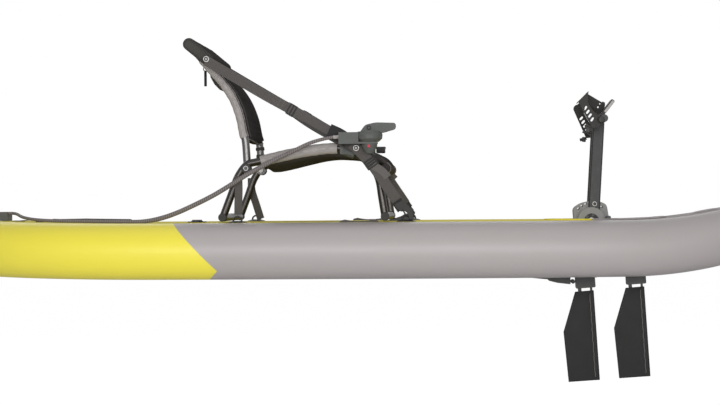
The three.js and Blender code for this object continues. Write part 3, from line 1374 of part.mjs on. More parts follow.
function mastHub(sprocketSide) {
  const skirt = sidePlate(roundedShape(
    rectangle(-hubLength / 2, -hubSkirtDepth, hubLength / 2, hubRadius / 4), hubCorner),
  -hubSkirtWidth / 2, hubSkirtWidth / 2);
  const barrel = lengthways(0, -hubLength / 2, hubLength / 2, hubRadius);
  const from = sprocketSide > 0 ? hubLength / 2 : -hubLength / 2 - sprocketWidth;
  const core = lengthways(0, from - gap, from + sprocketWidth, sprocketCore, drumSides);
  const plates = [from, from + sprocketWidth - chainPlate].map(toothedPlate);
  const mast = rod(vector(mastForward, 0, -hubSkirtDepth + wire),
    vector(mastForward, 0, -finTipDrop + finTipForward),
    mastRadius, smallSides);
  const clew = rod(vector(-finTipForward, 0, -hubSkirtDepth + wire),
    vector(-finTipForward, 0, -finTopDrop + gap),
    clewWidth / 2, smallSides);
  const bore = lengthways(0, -hubLength, hubLength, boreFor(axleRadius));
  return cut(join(skirt, barrel, core, ...plates, mast, clew), bore);
}

function fin() {
  const rings = [];
  const levels = [finTopDrop, (finTopDrop + finKinkDrop) / 2, finKinkDrop, (finKinkDrop + finTipDrop) / 2,
    finTipDrop];
  const trail = (drop) => {
    const [top, kink, tip] = finTrailShares.map(([x]) => x * finTipDrop);
    if (drop <= finKinkDrop) return top + (kink - top) * (drop - finTopDrop) / (finKinkDrop - finTopDrop);
    return kink + (tip - kink) * (drop - finKinkDrop) / (finTipDrop - finKinkDrop);
  };
  levels.forEach((drop) => {
    const share = (drop - finTopDrop) / (finTipDrop - finTopDrop);
    const lead = finTopForward - share * wire;
    const back = trail(drop);
    const sleeve = 2 * finSleeveRadius;
    const nose = finSleeveShares.map(([aft, half]) => [lead - sleeve * aft, half]);
    const ring = [...nose, [(lead + back) / 2, 0.5], [back + finEdge, 0.25]];
    const upper = ring.map(([x, y]) => vector(x, y * finSleeveRadius, -drop));
    const lower = ring.map(([x, y]) => vector(x, -y * finSleeveRadius, -drop)).reverse();
    rings.push([...upper, vector(back, 0, -drop), ...lower]);
  });
  const bore = rod(vector(mastForward, 0, -finTopDrop + cutOverrun),
    vector(mastForward, 0, -finTipDrop + finTipForward
    - gap), mastRadius + 2 * gap, smallSides);
  return cut(loft(rings), bore);
}

function fins() {
  [['rear', rearHubX, 1], ['front', frontHubX, -1]].forEach(([end, x, sprocketSide]) => {
    addPiece(`${end}_mast_hub`, mastHub(sprocketSide).translate(x, 0, -axleDrop), colours.darkPlastic, 0.6,
      0, drive);
    addPiece(`${end}_fin`, fin().translate(x, 0, -axleDrop), colours.finBlack, 0.5, 0, drive);
  });
}

// Chain round the underside of a sprocket, with a cable from each end to the drums
function chain(x, tangentX, tangentZ) {
  const straight = (chainLinkCount - sprocketTeethCount / 2) / 2;
  const pins = Array.from({ length: chainLinkCount + 1 }, (_, k) => {
    if (k < straight) return new THREE.Vector2(sprocketRadius, (straight - k) * chainPitch);
    if (k > chainLinkCount - straight) {
      return new THREE.Vector2(-sprocketRadius, (k - chainLinkCount + straight) * chainPitch);
    }
    const angle = (k - straight) / (chainLinkCount - 2 * straight) * Math.PI;
    return new THREE.Vector2(sprocketRadius * Math.cos(angle), -sprocketRadius * Math.sin(angle));
  });
  const links = pins.slice(0, -1).map((pin, k) => {
    const next = pins[k + 1];
    const along = next.clone().sub(pin).normalize();
    const side = new THREE.Vector2(-along.y, along.x).multiplyScalar(chainHeight / 2);
    const lead = along.clone().multiplyScalar(chainHeight / 3);
    const corners = [
      pin.clone().sub(lead), pin.clone().sub(side), next.clone().sub(side), next.clone().add(lead),
      next.clone().add(side), pin.clone().add(side),
    ];
    const half = k % 2 === 0 ? chainWidth / 2 : chainWidth / 2 - chainPlate / 2;
    return endPlate(new THREE.Shape(corners), x - half, x + half);
  });
  const grooveY = drumInner + cableDrumWidth / 2;
  const cables = [-1, 1].map((sign) => rod(
    vector(x, sign * sprocketRadius, -axleDrop + straight * chainPitch - wire),
    vector(tangentX, sign * grooveY, tangentZ), cableRadius, thinSides));
  return join(...links.map((link) => link.translate(0, 0, -axleDrop)), ...cables);
}

function chains() {
  [['rear', rearHubX + hubLength / 2 + sprocketWidth / 2, -1],
    ['front', frontHubX - hubLength / 2 - sprocketWidth / 2, 1]].forEach(([end, x, sense]) => {
    const aimZ = -axleDrop * cableAimShare;
    const heading = Math.atan2(aimZ, x) + sense * Math.acos(cableDrumRadius / Math.hypot(x, aimZ));
    addPiece(`${end}_chain`, chain(x, cableDrumRadius * Math.cos(heading),
      cableDrumRadius * Math.sin(heading)),
      colours.metal, 0.35, 0.9, drive);
  });
}

function spine() {
  const lugBottom = -axleDrop - bearingRadius / 2;
  const overHub = -axleDrop + hubRadius + wire;
  const rearEnd = rearHubX - hubLength / 2 - runningGap;
  const frontEnd = frontHubX + hubLength / 2 + runningGap;
  const midFrom = rearHubX + hubLength / 2 + sprocketWidth + 2 * runningGap;
  const midTo = frontHubX - hubLength / 2 - sprocketWidth - 2 * runningGap;
  const lug = sprocketWidth + wire;
  const web = sidePlate(new THREE.Shape([
    [rearEnd - lug, lugBottom], [rearEnd, lugBottom], [rearEnd, overHub], [midFrom, overHub],
    [midFrom, lugBottom],
    [midTo, lugBottom], [midTo, overHub], [frontEnd, overHub], [frontEnd, lugBottom],
    [frontEnd + lug, lugBottom],
    [frontEnd + lug, -shoulderDrop], [bearingRadius, bearingRadius / 2],
    [bearingRadius / 2, bearingRadius - wire],
    [-bearingRadius / 2, bearingRadius - wire], [-bearingRadius, bearingRadius / 2],
    [rearEnd - lug, -shoulderDrop],
  ].map(([x, z]) => new THREE.Vector2(x, z))), -webHalfWidth, webHalfWidth);
  const lightening = [rearHubX, (rearHubX + frontHubX) / 2, frontHubX].map((x) => across(
    x, -axleDrop / 2, -hubLength, hubLength, bearingRadius + cutOverrun));
  const frame = cut(join(web, across(0, 0, -drumInner + runningGap, drumInner - runningGap, bearingRadius)),
    across(0, 0, -hubLength, hubLength, boreFor(shaftRadius)),
    lengthways(-axleDrop, -hullLength, hullLength, boreFor(axleRadius)),
      ...lightening).applyMatrix4(drive.matrix);
  const shelf = planPlate(roundCornered(wellInnerLength - gap, wellInnerWidth - gap, wellCorner - wellWall),
    ledgeZ + gap, ledgeZ + gap + ledgeThickness);
  const drumRoom = drumRadius + 2 * ledgeWidth;
  const rooms = [-1, 1].map((sign) => box(crankX - drumRoom, crankX + drumRoom,
    Math.min(sign * webHalfWidth, sign * wellWidth), Math.max(sign * webHalfWidth, sign * wellWidth),
    0, 2 * hullThickness));
  const ears = [-1, 1].map((sign) => box(camX - earWidth / 2 + wire, crankX + drumRoom + earWidth,
    Math.min(sign * (coverTo - earWidth / 2), sign * (wellInnerWidth - gap - wire)),
    Math.max(sign * (coverTo - earWidth / 2), sign * (wellInnerWidth - gap - wire)),
    ledgeZ + gap, deckFlangeZ + flangeThickness - gap));
  addPiece('drive_spine', join(frame, cut(shelf, ...rooms), ...ears), colours.darkPlastic, 0.6);
  addPiece('crank_shaft', join(
    across(0, 0, -coverTo - gap, coverTo + gap, shaftRadius),
    across(0, 0, armTo + gap, coverTo + gap, shaftHeadRadius, thinSides),
    across(0, 0, -coverTo - gap, -armTo - gap, shaftHeadRadius, thinSides)), colours.metal, 0.3, 0.9, drive);
  addPiece('mast_axle', lengthways(-axleDrop, rearEnd - 2 * lug, frontEnd + 2 * lug, axleRadius, smallSides),
    colours.metal, 0.3, 0.9, drive);
}

function latchCams() {
  [['right', -1], ['left', 1]].forEach(([side, sign]) => {
    const z = deckFlangeZ + flangeThickness + gap;
    const post = turned([
      [0, 0], [camRadius, 0], [camRadius, camHeight - wire], [camRadius - wire, camHeight], [0, camHeight],
    ]).translate(camX, sign * camY, z);
    const lever = box(camX - camRadius + wire, camX + camRadius - wire,
      Math.min(sign * (camY - camReach), sign * camY),
      Math.max(sign * (camY - camReach), sign * camY), z, z + camHeight / 2);
    addPiece(`${side}_latch_cam`, join(post, lever), colours.darkPlastic, 0.6);
  });
}

hull();
driveWell();
valve();
tieDowns();
handles();
cargoCords();
seatTubes();
backFrame();
seatCushion();
backCushion();
backPocket();
straps();
mounts();
steeringHandle();
conduit();
stern();
rudder();
drumsAndArms();
fins();
chains();
spine();
latchCams();

export default kayak;
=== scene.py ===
"""An inflatable pedal kayak with its seat, steering, rudder and fin drive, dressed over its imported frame."""
import json
import math
import bpy
import bmesh
from mathutils import Matrix, Vector
from mathutils.bvhtree import BVHTree


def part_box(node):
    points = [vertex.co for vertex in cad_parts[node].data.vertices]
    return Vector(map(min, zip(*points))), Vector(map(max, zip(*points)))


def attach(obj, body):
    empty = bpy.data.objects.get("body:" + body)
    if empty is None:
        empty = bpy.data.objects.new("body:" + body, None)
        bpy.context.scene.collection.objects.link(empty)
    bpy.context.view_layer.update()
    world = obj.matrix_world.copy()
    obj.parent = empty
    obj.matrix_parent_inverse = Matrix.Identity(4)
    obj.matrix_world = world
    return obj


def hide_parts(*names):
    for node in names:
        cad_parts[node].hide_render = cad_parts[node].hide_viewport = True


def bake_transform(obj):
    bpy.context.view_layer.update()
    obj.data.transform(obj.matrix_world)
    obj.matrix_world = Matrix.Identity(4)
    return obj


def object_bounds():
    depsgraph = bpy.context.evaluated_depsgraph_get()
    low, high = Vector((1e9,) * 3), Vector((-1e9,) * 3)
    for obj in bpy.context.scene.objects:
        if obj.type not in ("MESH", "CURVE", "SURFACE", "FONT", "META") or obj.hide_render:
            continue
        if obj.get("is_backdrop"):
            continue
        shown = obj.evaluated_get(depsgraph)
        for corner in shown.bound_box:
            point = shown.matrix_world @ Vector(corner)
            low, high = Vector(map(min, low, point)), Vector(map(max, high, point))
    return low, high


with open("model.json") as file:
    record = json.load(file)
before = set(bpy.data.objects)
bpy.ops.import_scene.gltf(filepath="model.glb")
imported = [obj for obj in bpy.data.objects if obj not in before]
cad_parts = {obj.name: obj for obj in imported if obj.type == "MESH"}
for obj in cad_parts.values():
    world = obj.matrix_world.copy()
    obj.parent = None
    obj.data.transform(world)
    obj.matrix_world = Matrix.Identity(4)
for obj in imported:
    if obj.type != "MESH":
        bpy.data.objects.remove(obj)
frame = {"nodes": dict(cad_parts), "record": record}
solid_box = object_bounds()

bl_info = {
    "name": "Pedal kayak",
    "version": (1, 0, 0),
    "blender": (4, 5, 0),
    "location": "View3D > Sidebar > Kayak",
    "description": "Dresses a pedal kayak: hull, seat, steering, rudder and fin drive",
    "category": "Object",
}

MM = 0.001


def mm(*values):
    """Turns millimetres into a vector in metres."""
    return Vector(values) * MM


# Sizes and colours that a user may change


class HullSettings(bpy.types.PropertyGroup):
    length: bpy.props.FloatProperty(
        name="Length", description="Hull length over all", default=2.74, unit="LENGTH")
    beam: bpy.props.FloatProperty(
        name="Beam", description="Hull width over the rails", default=0.91, unit="LENGTH")
    thickness: bpy.props.FloatProperty(
        name="Thickness", description="Height of the hull's wall", default=0.18, unit="LENGTH")
    bow_rise: bpy.props.FloatProperty(
        name="Bow rise", description="How far the bow lifts", default=0.1, unit="LENGTH")
    stern_rise: bpy.props.FloatProperty(
        name="Stern rise", description="How far the stern lifts", default=0.012, unit="LENGTH")
    grey: bpy.props.FloatVectorProperty(
        name="Grey skin", description="Colour of the grey coated fabric", subtype="COLOR", size=3,
        default=(0.43, 0.395, 0.4))
    yellow: bpy.props.FloatVectorProperty(
        name="Yellow skin", description="Colour of the yellow coated fabric", subtype="COLOR", size=3,
        default=(0.94, 0.82, 0.07))


class SoftSettings(bpy.types.PropertyGroup):
    cloth: bpy.props.FloatVectorProperty(
        name="Seat cloth", description="Colour of the dark seat cloth", subtype="COLOR", size=3,
        default=(0.064, 0.059, 0.058))
    sleeve: bpy.props.FloatVectorProperty(
        name="Sleeve cloth", description="Colour of the light sleeves round the tubes", subtype="COLOR",
        size=3, default=(0.36, 0.335, 0.325))
    webbing: bpy.props.FloatVectorProperty(
        name="Webbing", description="Colour of the straps", subtype="COLOR", size=3,
        default=(0.088, 0.08, 0.076))


class HardSettings(bpy.types.PropertyGroup):
    moulding: bpy.props.FloatVectorProperty(
        name="Moulding", description="Colour of the dark moulded parts", subtype="COLOR", size=3,
        default=(0.1, 0.105, 0.1))
    drum: bpy.props.FloatVectorProperty(
        name="Drum", description="Colour of the index drums", subtype="COLOR", size=3,
        default=(0.26, 0.258, 0.252))
    fin: bpy.props.FloatVectorProperty(
        name="Fin", description="Colour of the fins", subtype="COLOR", size=3, default=(0.0105, 0.01, 0.01))
    alloy: bpy.props.FloatVectorProperty(
        name="Alloy", description="Colour of the bright tubes", subtype="COLOR", size=3,
        default=(0.15, 0.146, 0.144))


# Shader maths


class Wire:
    """One output socket. Arithmetic on wires adds Math nodes to their board."""

    def __init__(self, board, socket):
        self.board = board
        self.socket = socket

    def maths(self, operation, *others, first=None):
        values = [self, *others] if first is None else [first, self, *others]
        return self.board.node("ShaderNodeMath", {"operation": operation}, *values)

    def __add__(self, other):
        return self.maths("ADD", other)

    def __radd__(self, other):
        return self.maths("ADD", other)

    def __sub__(self, other):
        return self.maths("SUBTRACT", other)

    def __rsub__(self, other):
        return self.maths("SUBTRACT", first=other)

    def __mul__(self, other):
        return self.maths("MULTIPLY", other)

    def __rmul__(self, other):
        return self.maths("MULTIPLY", other)

    def __truediv__(self, other):
        return self.maths("DIVIDE", other)

    def __rtruediv__(self, other):
        return self.maths("DIVIDE", first=other)

    def __pow__(self, other):
        return self.maths("POWER", other)

    def __rpow__(self, other):
        return self.maths("POWER", first=other)

    def __gt__(self, other):
        return self.maths("GREATER_THAN", other)

    def __lt__(self, other):
        return self.maths("LESS_THAN", other)

    def __abs__(self):
        return self.maths("ABSOLUTE")

    def wave(self, pitch):
        """A smooth wave from 0 to 1 that repeats every pitch metres along this value."""
        return (self * (2 * math.pi / pitch)).maths("SINE") * 0.5 + 0.5

    def ramp(self, low, high):
        """0 below low, 1 above high, smooth between."""
        return self.board.node(
            "ShaderNodeMapRange", {"interpolation_type": "SMOOTHSTEP"}, self, low, high, 0.0, 1.0)


class Board:
    """The nodes of one finish, or of the surroundings."""

    def __init__(self, name=None, tree=None):
        if tree is None:
            self.material = bpy.data.materials.new(name)
            self.material.use_nodes = True
            tree = self.material.node_tree
            self.surface = tree.nodes["Principled BSDF"]
        self.tree = tree

    def node(self, kind, settings=None, *inputs, output=0, **named):
        """Adds a node: its settings, then its inputs in order or by name, each a wire or a plain value."""
        made = self.tree.nodes.new(kind)
        for key, value in (settings or {}).items():
            setattr(made, key, value)
        by_name = [(made.inputs[key], value) for key, value in named.items()]
        for socket, value in [*zip(made.inputs, inputs), *by_name]:
            if isinstance(value, Wire):
                self.tree.links.new(value.socket, socket)
            elif value is not None:
                socket.default_value = value
        return Wire(self, made.outputs[output])

    def place(self):
        """The piece's own coordinates as x, y and z."""
        points = self.node("ShaderNodeTexCoord", output="Object")
        self.points = points
        split = self.node("ShaderNodeSeparateXYZ", None, points).socket.node
        return [Wire(self, split.outputs[k]) for k in range(3)]

    def stored(self, name):
        return self.node("ShaderNodeAttribute", {"attribute_name": name}, output="Fac")

    def noise(self, scale, detail):
        return self.node("ShaderNodeTexNoise", None, self.points, Scale=scale, Detail=detail)

    def blend(self, factor, one, other):
        """A colour between two colours. The colour inputs of this node are its seventh and eighth."""
        colours = [c if isinstance(c, Wire) else (*c, 1) for c in (one, other)]
        return self.node("ShaderNodeMix", {"data_type": "RGBA"}, factor, *[None] * 5, *colours, output=2)

    def shade(self, colour, roughness, height=None, depth=None, metallic=None, fixed=None):
        """Feeds the surface: what varies comes as wires, and what is the same all over as numbers."""
        for name, value in [("Base Color", colour), ("Roughness", roughness), ("Metallic", metallic)]:
            if isinstance(value, Wire):
                self.tree.links.new(value.socket, self.surface.inputs[name])
            elif value is not None:
                self.surface.inputs[name].default_value = value
        for name, value in (fixed or {}).items():
            self.surface.inputs[name].default_value = value
        if height is not None:
            bump = self.node("ShaderNodeBump", None, Height=height, Distance=depth, Strength=1.0)
            self.tree.links.new(bump.socket, self.surface.inputs["Normal"])
        return self.material


def darker(colour, share):
    """A colour times a share, which may be over 1."""
    return tuple(c * share for c in colour)


# Finishes


def coated_skin(name, yellow_where, roughness=0.36, gloss=0.45):
    """Coated drop-stitch fabric, grey or yellow, with a fine scrim showing through."""
    hull = bpy.context.scene.kayak_hull
    board = Board(name)
    x, y, z = board.place()
    mask = yellow_where(x, y, z)
    scrim = x.wave(0.0022) * (y + z).wave(0.0022)
    cloud = board.noise(3.0, 3.0)
    colour = board.blend(mask, tuple(hull.grey), tuple(hull.yellow))
    shaded = board.blend(cloud * 0.1, colour, (0.3, 0.28, 0.16))
    scuffs = board.noise(60.0, 4.0).ramp(0.62, 0.8)
    return board.shade(shaded, roughness + cloud * 0.12 + scuffs * 0.1, scrim + scuffs * 0.4, 0.00006,
                       fixed={"Specular IOR Level": gloss})


def moulded(name, colour, roughness=0.5):
    """Moulded plastic with a spark-eroded grain and slightly polished high spots."""
    board = Board(name)
    board.place()
    grain = board.noise(420.0, 2.0)
    cloud = board.noise(14.0, 3.0)
    wear = board.noise(120.0, 5.0).ramp(0.6, 0.78)
    tint = board.blend(cloud * 0.5, tuple(colour), darker(colour, 0.78))
    worn = board.blend(wear * 0.22, tint, darker(colour, 1.7))
    return board.shade(worn, roughness + cloud * 0.1 - wear * 0.12, grain, 0.00005,
                       fixed={"Specular IOR Level": 0.3})


def bright_alloy(name, colour, roughness):
    """Drawn aluminium tube with fine lines and light handling marks."""
    board = Board(name)
    board.place()
    lines = board.noise(90.0, 2.0)
    marks = board.noise(30.0, 5.0).ramp(0.55, 0.8)
    tint = board.blend(marks * 0.35, tuple(colour), darker(colour, 0.72))
    return board.shade(tint, roughness + lines * 0.14 + marks * 0.1, lines, 0.00002, metallic=1.0)


def woven_band(name, colour, pitch=0.0021):
    """Flat webbing: ribs across the band and a bound edge on each side."""
    board = Board(name)
    board.place()
    along, across = board.stored("along"), board.stored("across")
    ribs = along.wave(pitch) * 0.6 + across.wave(0.0016) * 0.4
    edge = abs(across).ramp(0.0145, 0.0165)
    cloud = board.noise(40.0, 3.0)
    tint = board.blend(ribs * 0.45, darker(colour, 0.72), darker(colour, 1.22))
    bound = board.blend(edge * 0.6, tint, darker(colour, 0.7))
    faded = board.blend(cloud * 0.3, bound, darker(colour, 1.35))
    return board.shade(faded, 0.82 - ribs * 0.12, ribs + edge * 0.4, 0.00035)


def padded_cloth(name, colour, pitch=0.0032):
    """Woven polyester over foam, with an open mesh look and soft folds."""
    board = Board(name)
    x, y, z = board.place()
    weave = (x + z * 0.35).wave(pitch) * y.wave(pitch) + (z - x * 0.2).wave(pitch) * 0.4
    cloud = board.noise(18.0, 4.0)
    creases = board.noise(55.0, 5.0).ramp(0.5, 0.75)
    tint = board.blend(weave * 0.7, darker(colour, 0.6), darker(colour, 1.5))
    faded = board.blend(cloud * 0.35, tint, darker(colour, 1.6))
    return board.shade(faded, 0.86 - weave * 0.08, weave * 0.5 + creases * 0.9, 0.0006,
                       fixed={"Specular IOR Level": 0.0})


def bolt_finish():
    """Plated bolt head, rubbed by the key."""
    board = Board("ring_bolt")
    board.place()
    marks = board.noise(180.0, 4.0)
    tint = board.blend(marks * 0.4, (0.6, 0.59, 0.58), (0.42, 0.41, 0.4))
    return board.shade(tint, 0.42 + marks * 0.2, marks, 0.00003, metallic=0.2)


def coated_cover(name, colour):
    """Dark coated cloth without shine, creased along the roll."""
    board = Board(name)
    x, y, z = board.place()
    creases = board.noise(12.0, 3.0)
    weave = (x + z).wave(0.0016) * y.wave(0.0016)
    tint = board.blend(creases * 0.5, tuple(colour), darker(colour, 1.7))
    return board.shade(tint, 0.46 + creases * 0.12, creases + weave * 0.03, 0.00012,
                       fixed={"Specular IOR Level": 0.0})


def rubber(name, colour):
    """Smooth rubber with faint flow marks."""
    board = Board(name)
    board.place()
    flow = board.noise(22.0, 4.0)
    grain = board.noise(700.0, 2.0)
    tint = board.blend(flow * 0.6, tuple(colour), darker(colour, 1.9))
    return board.shade(tint, 0.42 + flow * 0.18, grain * 0.5 + flow, 0.0001,
                       fixed={"Specular IOR Level": 0.2})


def braided(name, colour):
    """Spiral-wrapped cable cover."""
    board = Board(name)
    board.place()
    along, around = board.stored("along"), board.stored("across")
    twist = (along + around * 0.35).wave(0.0075)
    tint = board.blend(twist, darker(colour, 0.55), darker(colour, 1.25))
    cloud = board.noise(35.0, 3.0)
    return board.shade(board.blend(cloud * 0.3, tint, darker(colour, 1.5)), 0.7 - twist * 0.15, twist, 0.0008)


def flat_mark(name, colour):
    """Printed mark with slightly rough ink."""
    board = Board(name)
    board.place()
    cloud = board.noise(300.0, 2.0)
    return board.shade(board.blend(cloud * 0.4, tuple(colour), darker(colour, 0.7)), 0.5 + cloud * 0.1)


class Finishes(dict):
    """Every finish, made once, the first time that a piece asks for it."""

    def __missing__(self, key):
        scene = bpy.context.scene
        hull, hard, soft = scene.kayak_hull, scene.kayak_hard, scene.kayak_soft
        makers = {
            "deck skin": lambda: coated_skin("deck_skin", lambda x, y, z: x < DECK_YELLOW_TO, 0.7, 0.3),
            "side skin": lambda: coated_skin("side_skin", side_yellow),
            "bottom skin": lambda: coated_skin("bottom_skin", lambda x, y, z: x < BEYOND_STERN),
            "moulding": lambda: moulded("dark_moulding", hard.moulding),
            "black moulding": lambda: moulded("black_moulding", (0.016, 0.015, 0.014), 0.45),
            # The skin moulding is the hull grey made 1.4 times lighter: painted light on flat tops, which get
            # little light from above.
            "skin moulding": lambda: moulded("skin_moulding", darker(hull.grey, 1.4)),
            "skin webbing": lambda: woven_band("skin_webbing", darker(hull.grey, 1.25)),
            "arm": lambda: moulded("crank_arm_coating", (0.034, 0.033, 0.034), 0.42),
            "drum": lambda: moulded("drum_moulding", hard.drum, 0.45),
            "pale moulding": lambda: moulded("pale_moulding", (0.4, 0.38, 0.37), 0.45),
            "pedal": lambda: moulded("pedal_moulding", (0.016, 0.014, 0.013)),
            "roll cover": lambda: coated_cover("roll_cover", (0.066, 0.062, 0.058)),
            "alloy": lambda: bright_alloy("drawn_alloy", hard.alloy, 0.3),
            "steel": lambda: bright_alloy("bright_steel", (0.22, 0.215, 0.21), 0.34),
            "webbing": lambda: woven_band("strap_webbing", soft.webbing),
            "dark webbing": lambda: woven_band("dark_webbing", darker(soft.webbing, 0.5)),
            "seat cloth": lambda: padded_cloth("seat_cloth", soft.cloth),
            "sleeve cloth": lambda: padded_cloth("sleeve_cloth", soft.sleeve, 0.0024),
            "fin rubber": lambda: rubber("fin_rubber", hard.fin),
            "cable cover": lambda: braided("cable_cover", (0.165, 0.145, 0.145)),
            "dark alloy": lambda: bright_alloy("dark_alloy", (0.06, 0.056, 0.053), 0.26),
            "tab": lambda: woven_band("strap_end", (0.012, 0.012, 0.012)),
            "pale webbing": lambda: woven_band("pale_webbing", darker(soft.webbing, 1.5)),
            "nose cloth": lambda: padded_cloth("nose_cloth", darker(soft.webbing, 1.2), 0.0024),
            "thread": lambda: woven_band("thread", (0.24, 0.225, 0.215), 0.001),
            "bolt ring": bolt_finish,
            "pale piping": lambda: woven_band("pale_piping", (0.16, 0.145, 0.14), 0.0016),
            "red mark": lambda: flat_mark("red_mark", (0.62, 0.01, 0.05)),
            "cord": lambda: woven_band("cord_braid", (0.035, 0.033, 0.032), 0.003),
        }
        self[key] = makers[key]()
        return self[key]


finishes = Finishes()
DECK_YELLOW_TO, BEYOND_STERN = 0.71, -9.0
SIDE_YELLOW_TO, YELLOW_CORNER_Z = -0.485, 0.029


def side_yellow(x, y, z):
    """The yellow stern ends in a slant down the side, with a short return near the bottom."""
    slant = x + (z - YELLOW_CORNER_Z) * 0.973
    back = x - (z - YELLOW_CORNER_Z) * 1.04
    return (slant < SIDE_YELLOW_TO) * (back < SIDE_YELLOW_TO)


# Pieces

SIDES = (("right", -1), ("left", 1))


def smooth_route(points, spacing=0.012):
    """Points on the centripetal curve through the given points, about spacing apart."""
    points = [Vector(p) for p in points]
    padded = [points[0] * 2 - points[1], *points, points[-1] * 2 - points[-2]]
    route = [points[0].copy()]
    for p0, p1, p2, p3 in zip(padded, padded[1:], padded[2:], padded[3:]):
        knots = [0.0]
        for a, b in ((p0, p1), (p1, p2), (p2, p3)):
            knots.append(knots[-1] + max((b - a).length, 1e-6) ** 0.5)
        count = max(2, math.ceil((p2 - p1).length / spacing))
        for i in range(1, count + 1):
            t = knots[1] + (knots[2] - knots[1]) * i / count
            a1 = p0.lerp(p1, (t - knots[0]) / (knots[1] - knots[0]))
            a2 = p1.lerp(p2, (t - knots[1]) / (knots[2] - knots[1]))
            a3 = p2.lerp(p3, (t - knots[2]) / (knots[3] - knots[2]))
            b1 = a1.lerp(a2, (t - knots[0]) / (knots[2] - knots[0]))
            b2 = a2.lerp(a3, (t - knots[1]) / (knots[3] - knots[1]))
            route.append(b1.lerp(b2, (t - knots[1]) / (knots[2] - knots[1])))
    return route


def directions(route):
    """The direction of a route at each of its points."""
    last = len(route) - 1
    return [(route[min(i + 1, last)] - route[max(i - 1, 0)]).normalized() for i in range(last + 1)]


def axes_at(place, across, out, along):
    """A frame at a place, with its x, y and z axes."""
    return Matrix.Translation(place) @ Matrix((across, out, along)).transposed().to_4x4()


def stations(route, side=None):
    """A turning frame at each point: x across, or as near as can be to a side, y out and z along."""
    found = []
    across = None
    for point, along in zip(route, directions(route)):
        if side:
            across = Vector(side) - along * along.dot(Vector(side))
        elif across is None:
            across = along.orthogonal()
        else:
            across = across - along * along.dot(across)
        across.normalize()
        found.append(axes_at(point, across, along.cross(across), along))
    return found


def round_profile(radius, around=20):
    """A circle as a closed profile."""
    angles = [2 * math.pi * i / around for i in range(around)]
    return [(radius * math.cos(angle), radius * math.sin(angle)) for angle in angles]


def oval_profile(across, up, shift_x, shift_y):
    """An oval of half widths across and up, moved off its frame, as a closed profile."""
    angles = [2 * math.pi * i / 28 for i in range(28)]
    return [(math.cos(angle) * across + shift_x, math.sin(angle) * up + shift_y) for angle in angles]


def band_profile(width, thickness, steps=6):
    """A flat band with rounded edges."""
    half, edge = width / 2, thickness / 2
    turn = [(half - edge + edge * math.sin(math.pi * i / steps), edge * math.cos(math.pi * i / steps))
            for i in range(steps + 1)]
    top = [(-half * 0.5, edge), (0.0, edge), (half * 0.5, edge)]
    return [*top, *turn, *[(-x, -y) for x, y in top], *[(-x, -y) for x, y in turn]]


def step_ring(bm, ring, edges, places):
    """Extrudes a closed ring of edges and puts its new corners in their places."""
    made = bmesh.ops.extrude_edge_only(bm, edges=edges)["geom"]
    fresh = {g for g in made if isinstance(g, bmesh.types.BMVert)}
    moved = [next(e.other_vert(v) for e in v.link_edges if e.other_vert(v) in fresh) for v in ring]
    for vert, place in zip(moved, places):
        vert.co = place
    return moved, [g for g in made if isinstance(g, bmesh.types.BMEdge) and set(g.verts) <= fresh]


def ring_of(bm, places):
    """A closed ring of new corners and edges."""
    ring = [bm.verts.new(place) for place in places]
    return ring, [bm.edges.new((a, b)) for a, b in zip(ring, ring[1:] + ring[:1])]


def loft(rings):
    """A skin drawn from ring to ring, closed at both ends."""
    bm = bmesh.new()
    ring, edges = ring_of(bm, rings[0])
    for places in rings[1:]:
        ring, edges = step_ring(bm, ring, edges, places)
    bmesh.ops.holes_fill(bm, edges=bm.edges, sides=0)
    bmesh.ops.recalc_face_normals(bm, faces=bm.faces)
    return bm


def sweep(profile, frames, scales=None, caps=True):
    """Draws a closed profile along frames by extruding its edge ring from one to the next."""
    bm = bmesh.new()
    along_layer = bm.verts.layers.float.new("along")
    across_layer = bm.verts.layers.float.new("across")
    scales = scales or [1.0] * len(frames)
    placed = [[f @ Vector((x * s, y * s, 0)) for x, y in profile] for f, s in zip(frames, scales)]
    ring, edges = ring_of(bm, placed[0])
    is_round = abs(profile[0][1]) < 1e-9
    sideways = [math.atan2(y, x) * 0.005 if is_round else x for x, y in profile]
    travelled = 0.0
    for i, places in enumerate(placed):
        if i:
            ring, edges = step_ring(bm, ring, edges, places)
            travelled += (frames[i].translation - frames[i - 1].translation).length
        for vert, across in zip(ring, sideways):
            vert[along_layer], vert[across_layer] = travelled, across
    if caps:
        bmesh.ops.holes_fill(bm, edges=bm.edges, sides=0)
    bmesh.ops.recalc_face_normals(bm, faces=bm.faces)
    return bm


def rod(route, radius, around=10, scales=None, caps=True):
    """A round rod along a route."""
    return sweep(round_profile(radius, around), stations(route), scales, caps)


def merge(*parts):
    """One bmesh from several, each of which is freed."""
    whole = parts[0]
    for part in parts[1:]:
        mesh = bpy.data.meshes.new("part")
        part.to_mesh(mesh)
        part.free()
        whole.from_mesh(mesh)
        bpy.data.meshes.remove(mesh)
    return whole


def piece(name, bm, finish, body, replaced=(), bevel=0.0, sharp=35.0):
    """A finished object in place, riding on its body, or standing on its own when given two bodies as (one,
    other, start, end).
    """
    mesh = bpy.data.meshes.new(name)
    bm.to_mesh(mesh)
    bm.free()
    for key in ([finish] if isinstance(finish, str) else finish):
        mesh.materials.append(finishes[key])
    mesh.shade_smooth()
    mesh.set_sharp_from_angle(angle=math.radians(sharp))
    made = bpy.data.objects.new(name, mesh)
    bpy.context.scene.collection.objects.link(made)
    if bevel:
        rounder = made.modifiers.new("Edges", "BEVEL")
        rounder.width = bevel
        rounder.segments = 2
        rounder.limit_method = "ANGLE"
        rounder.angle_limit = math.radians(sharp)
    if isinstance(body, str):
        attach(made, body)
    else:
        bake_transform(made)
    if replaced:
        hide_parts(*replaced)
    return made


def body_of(node):
    """The body that a solid rides on."""
    return next(body for body, nodes in frame["record"]["behaviour"]["bodies"].items() if node in nodes)


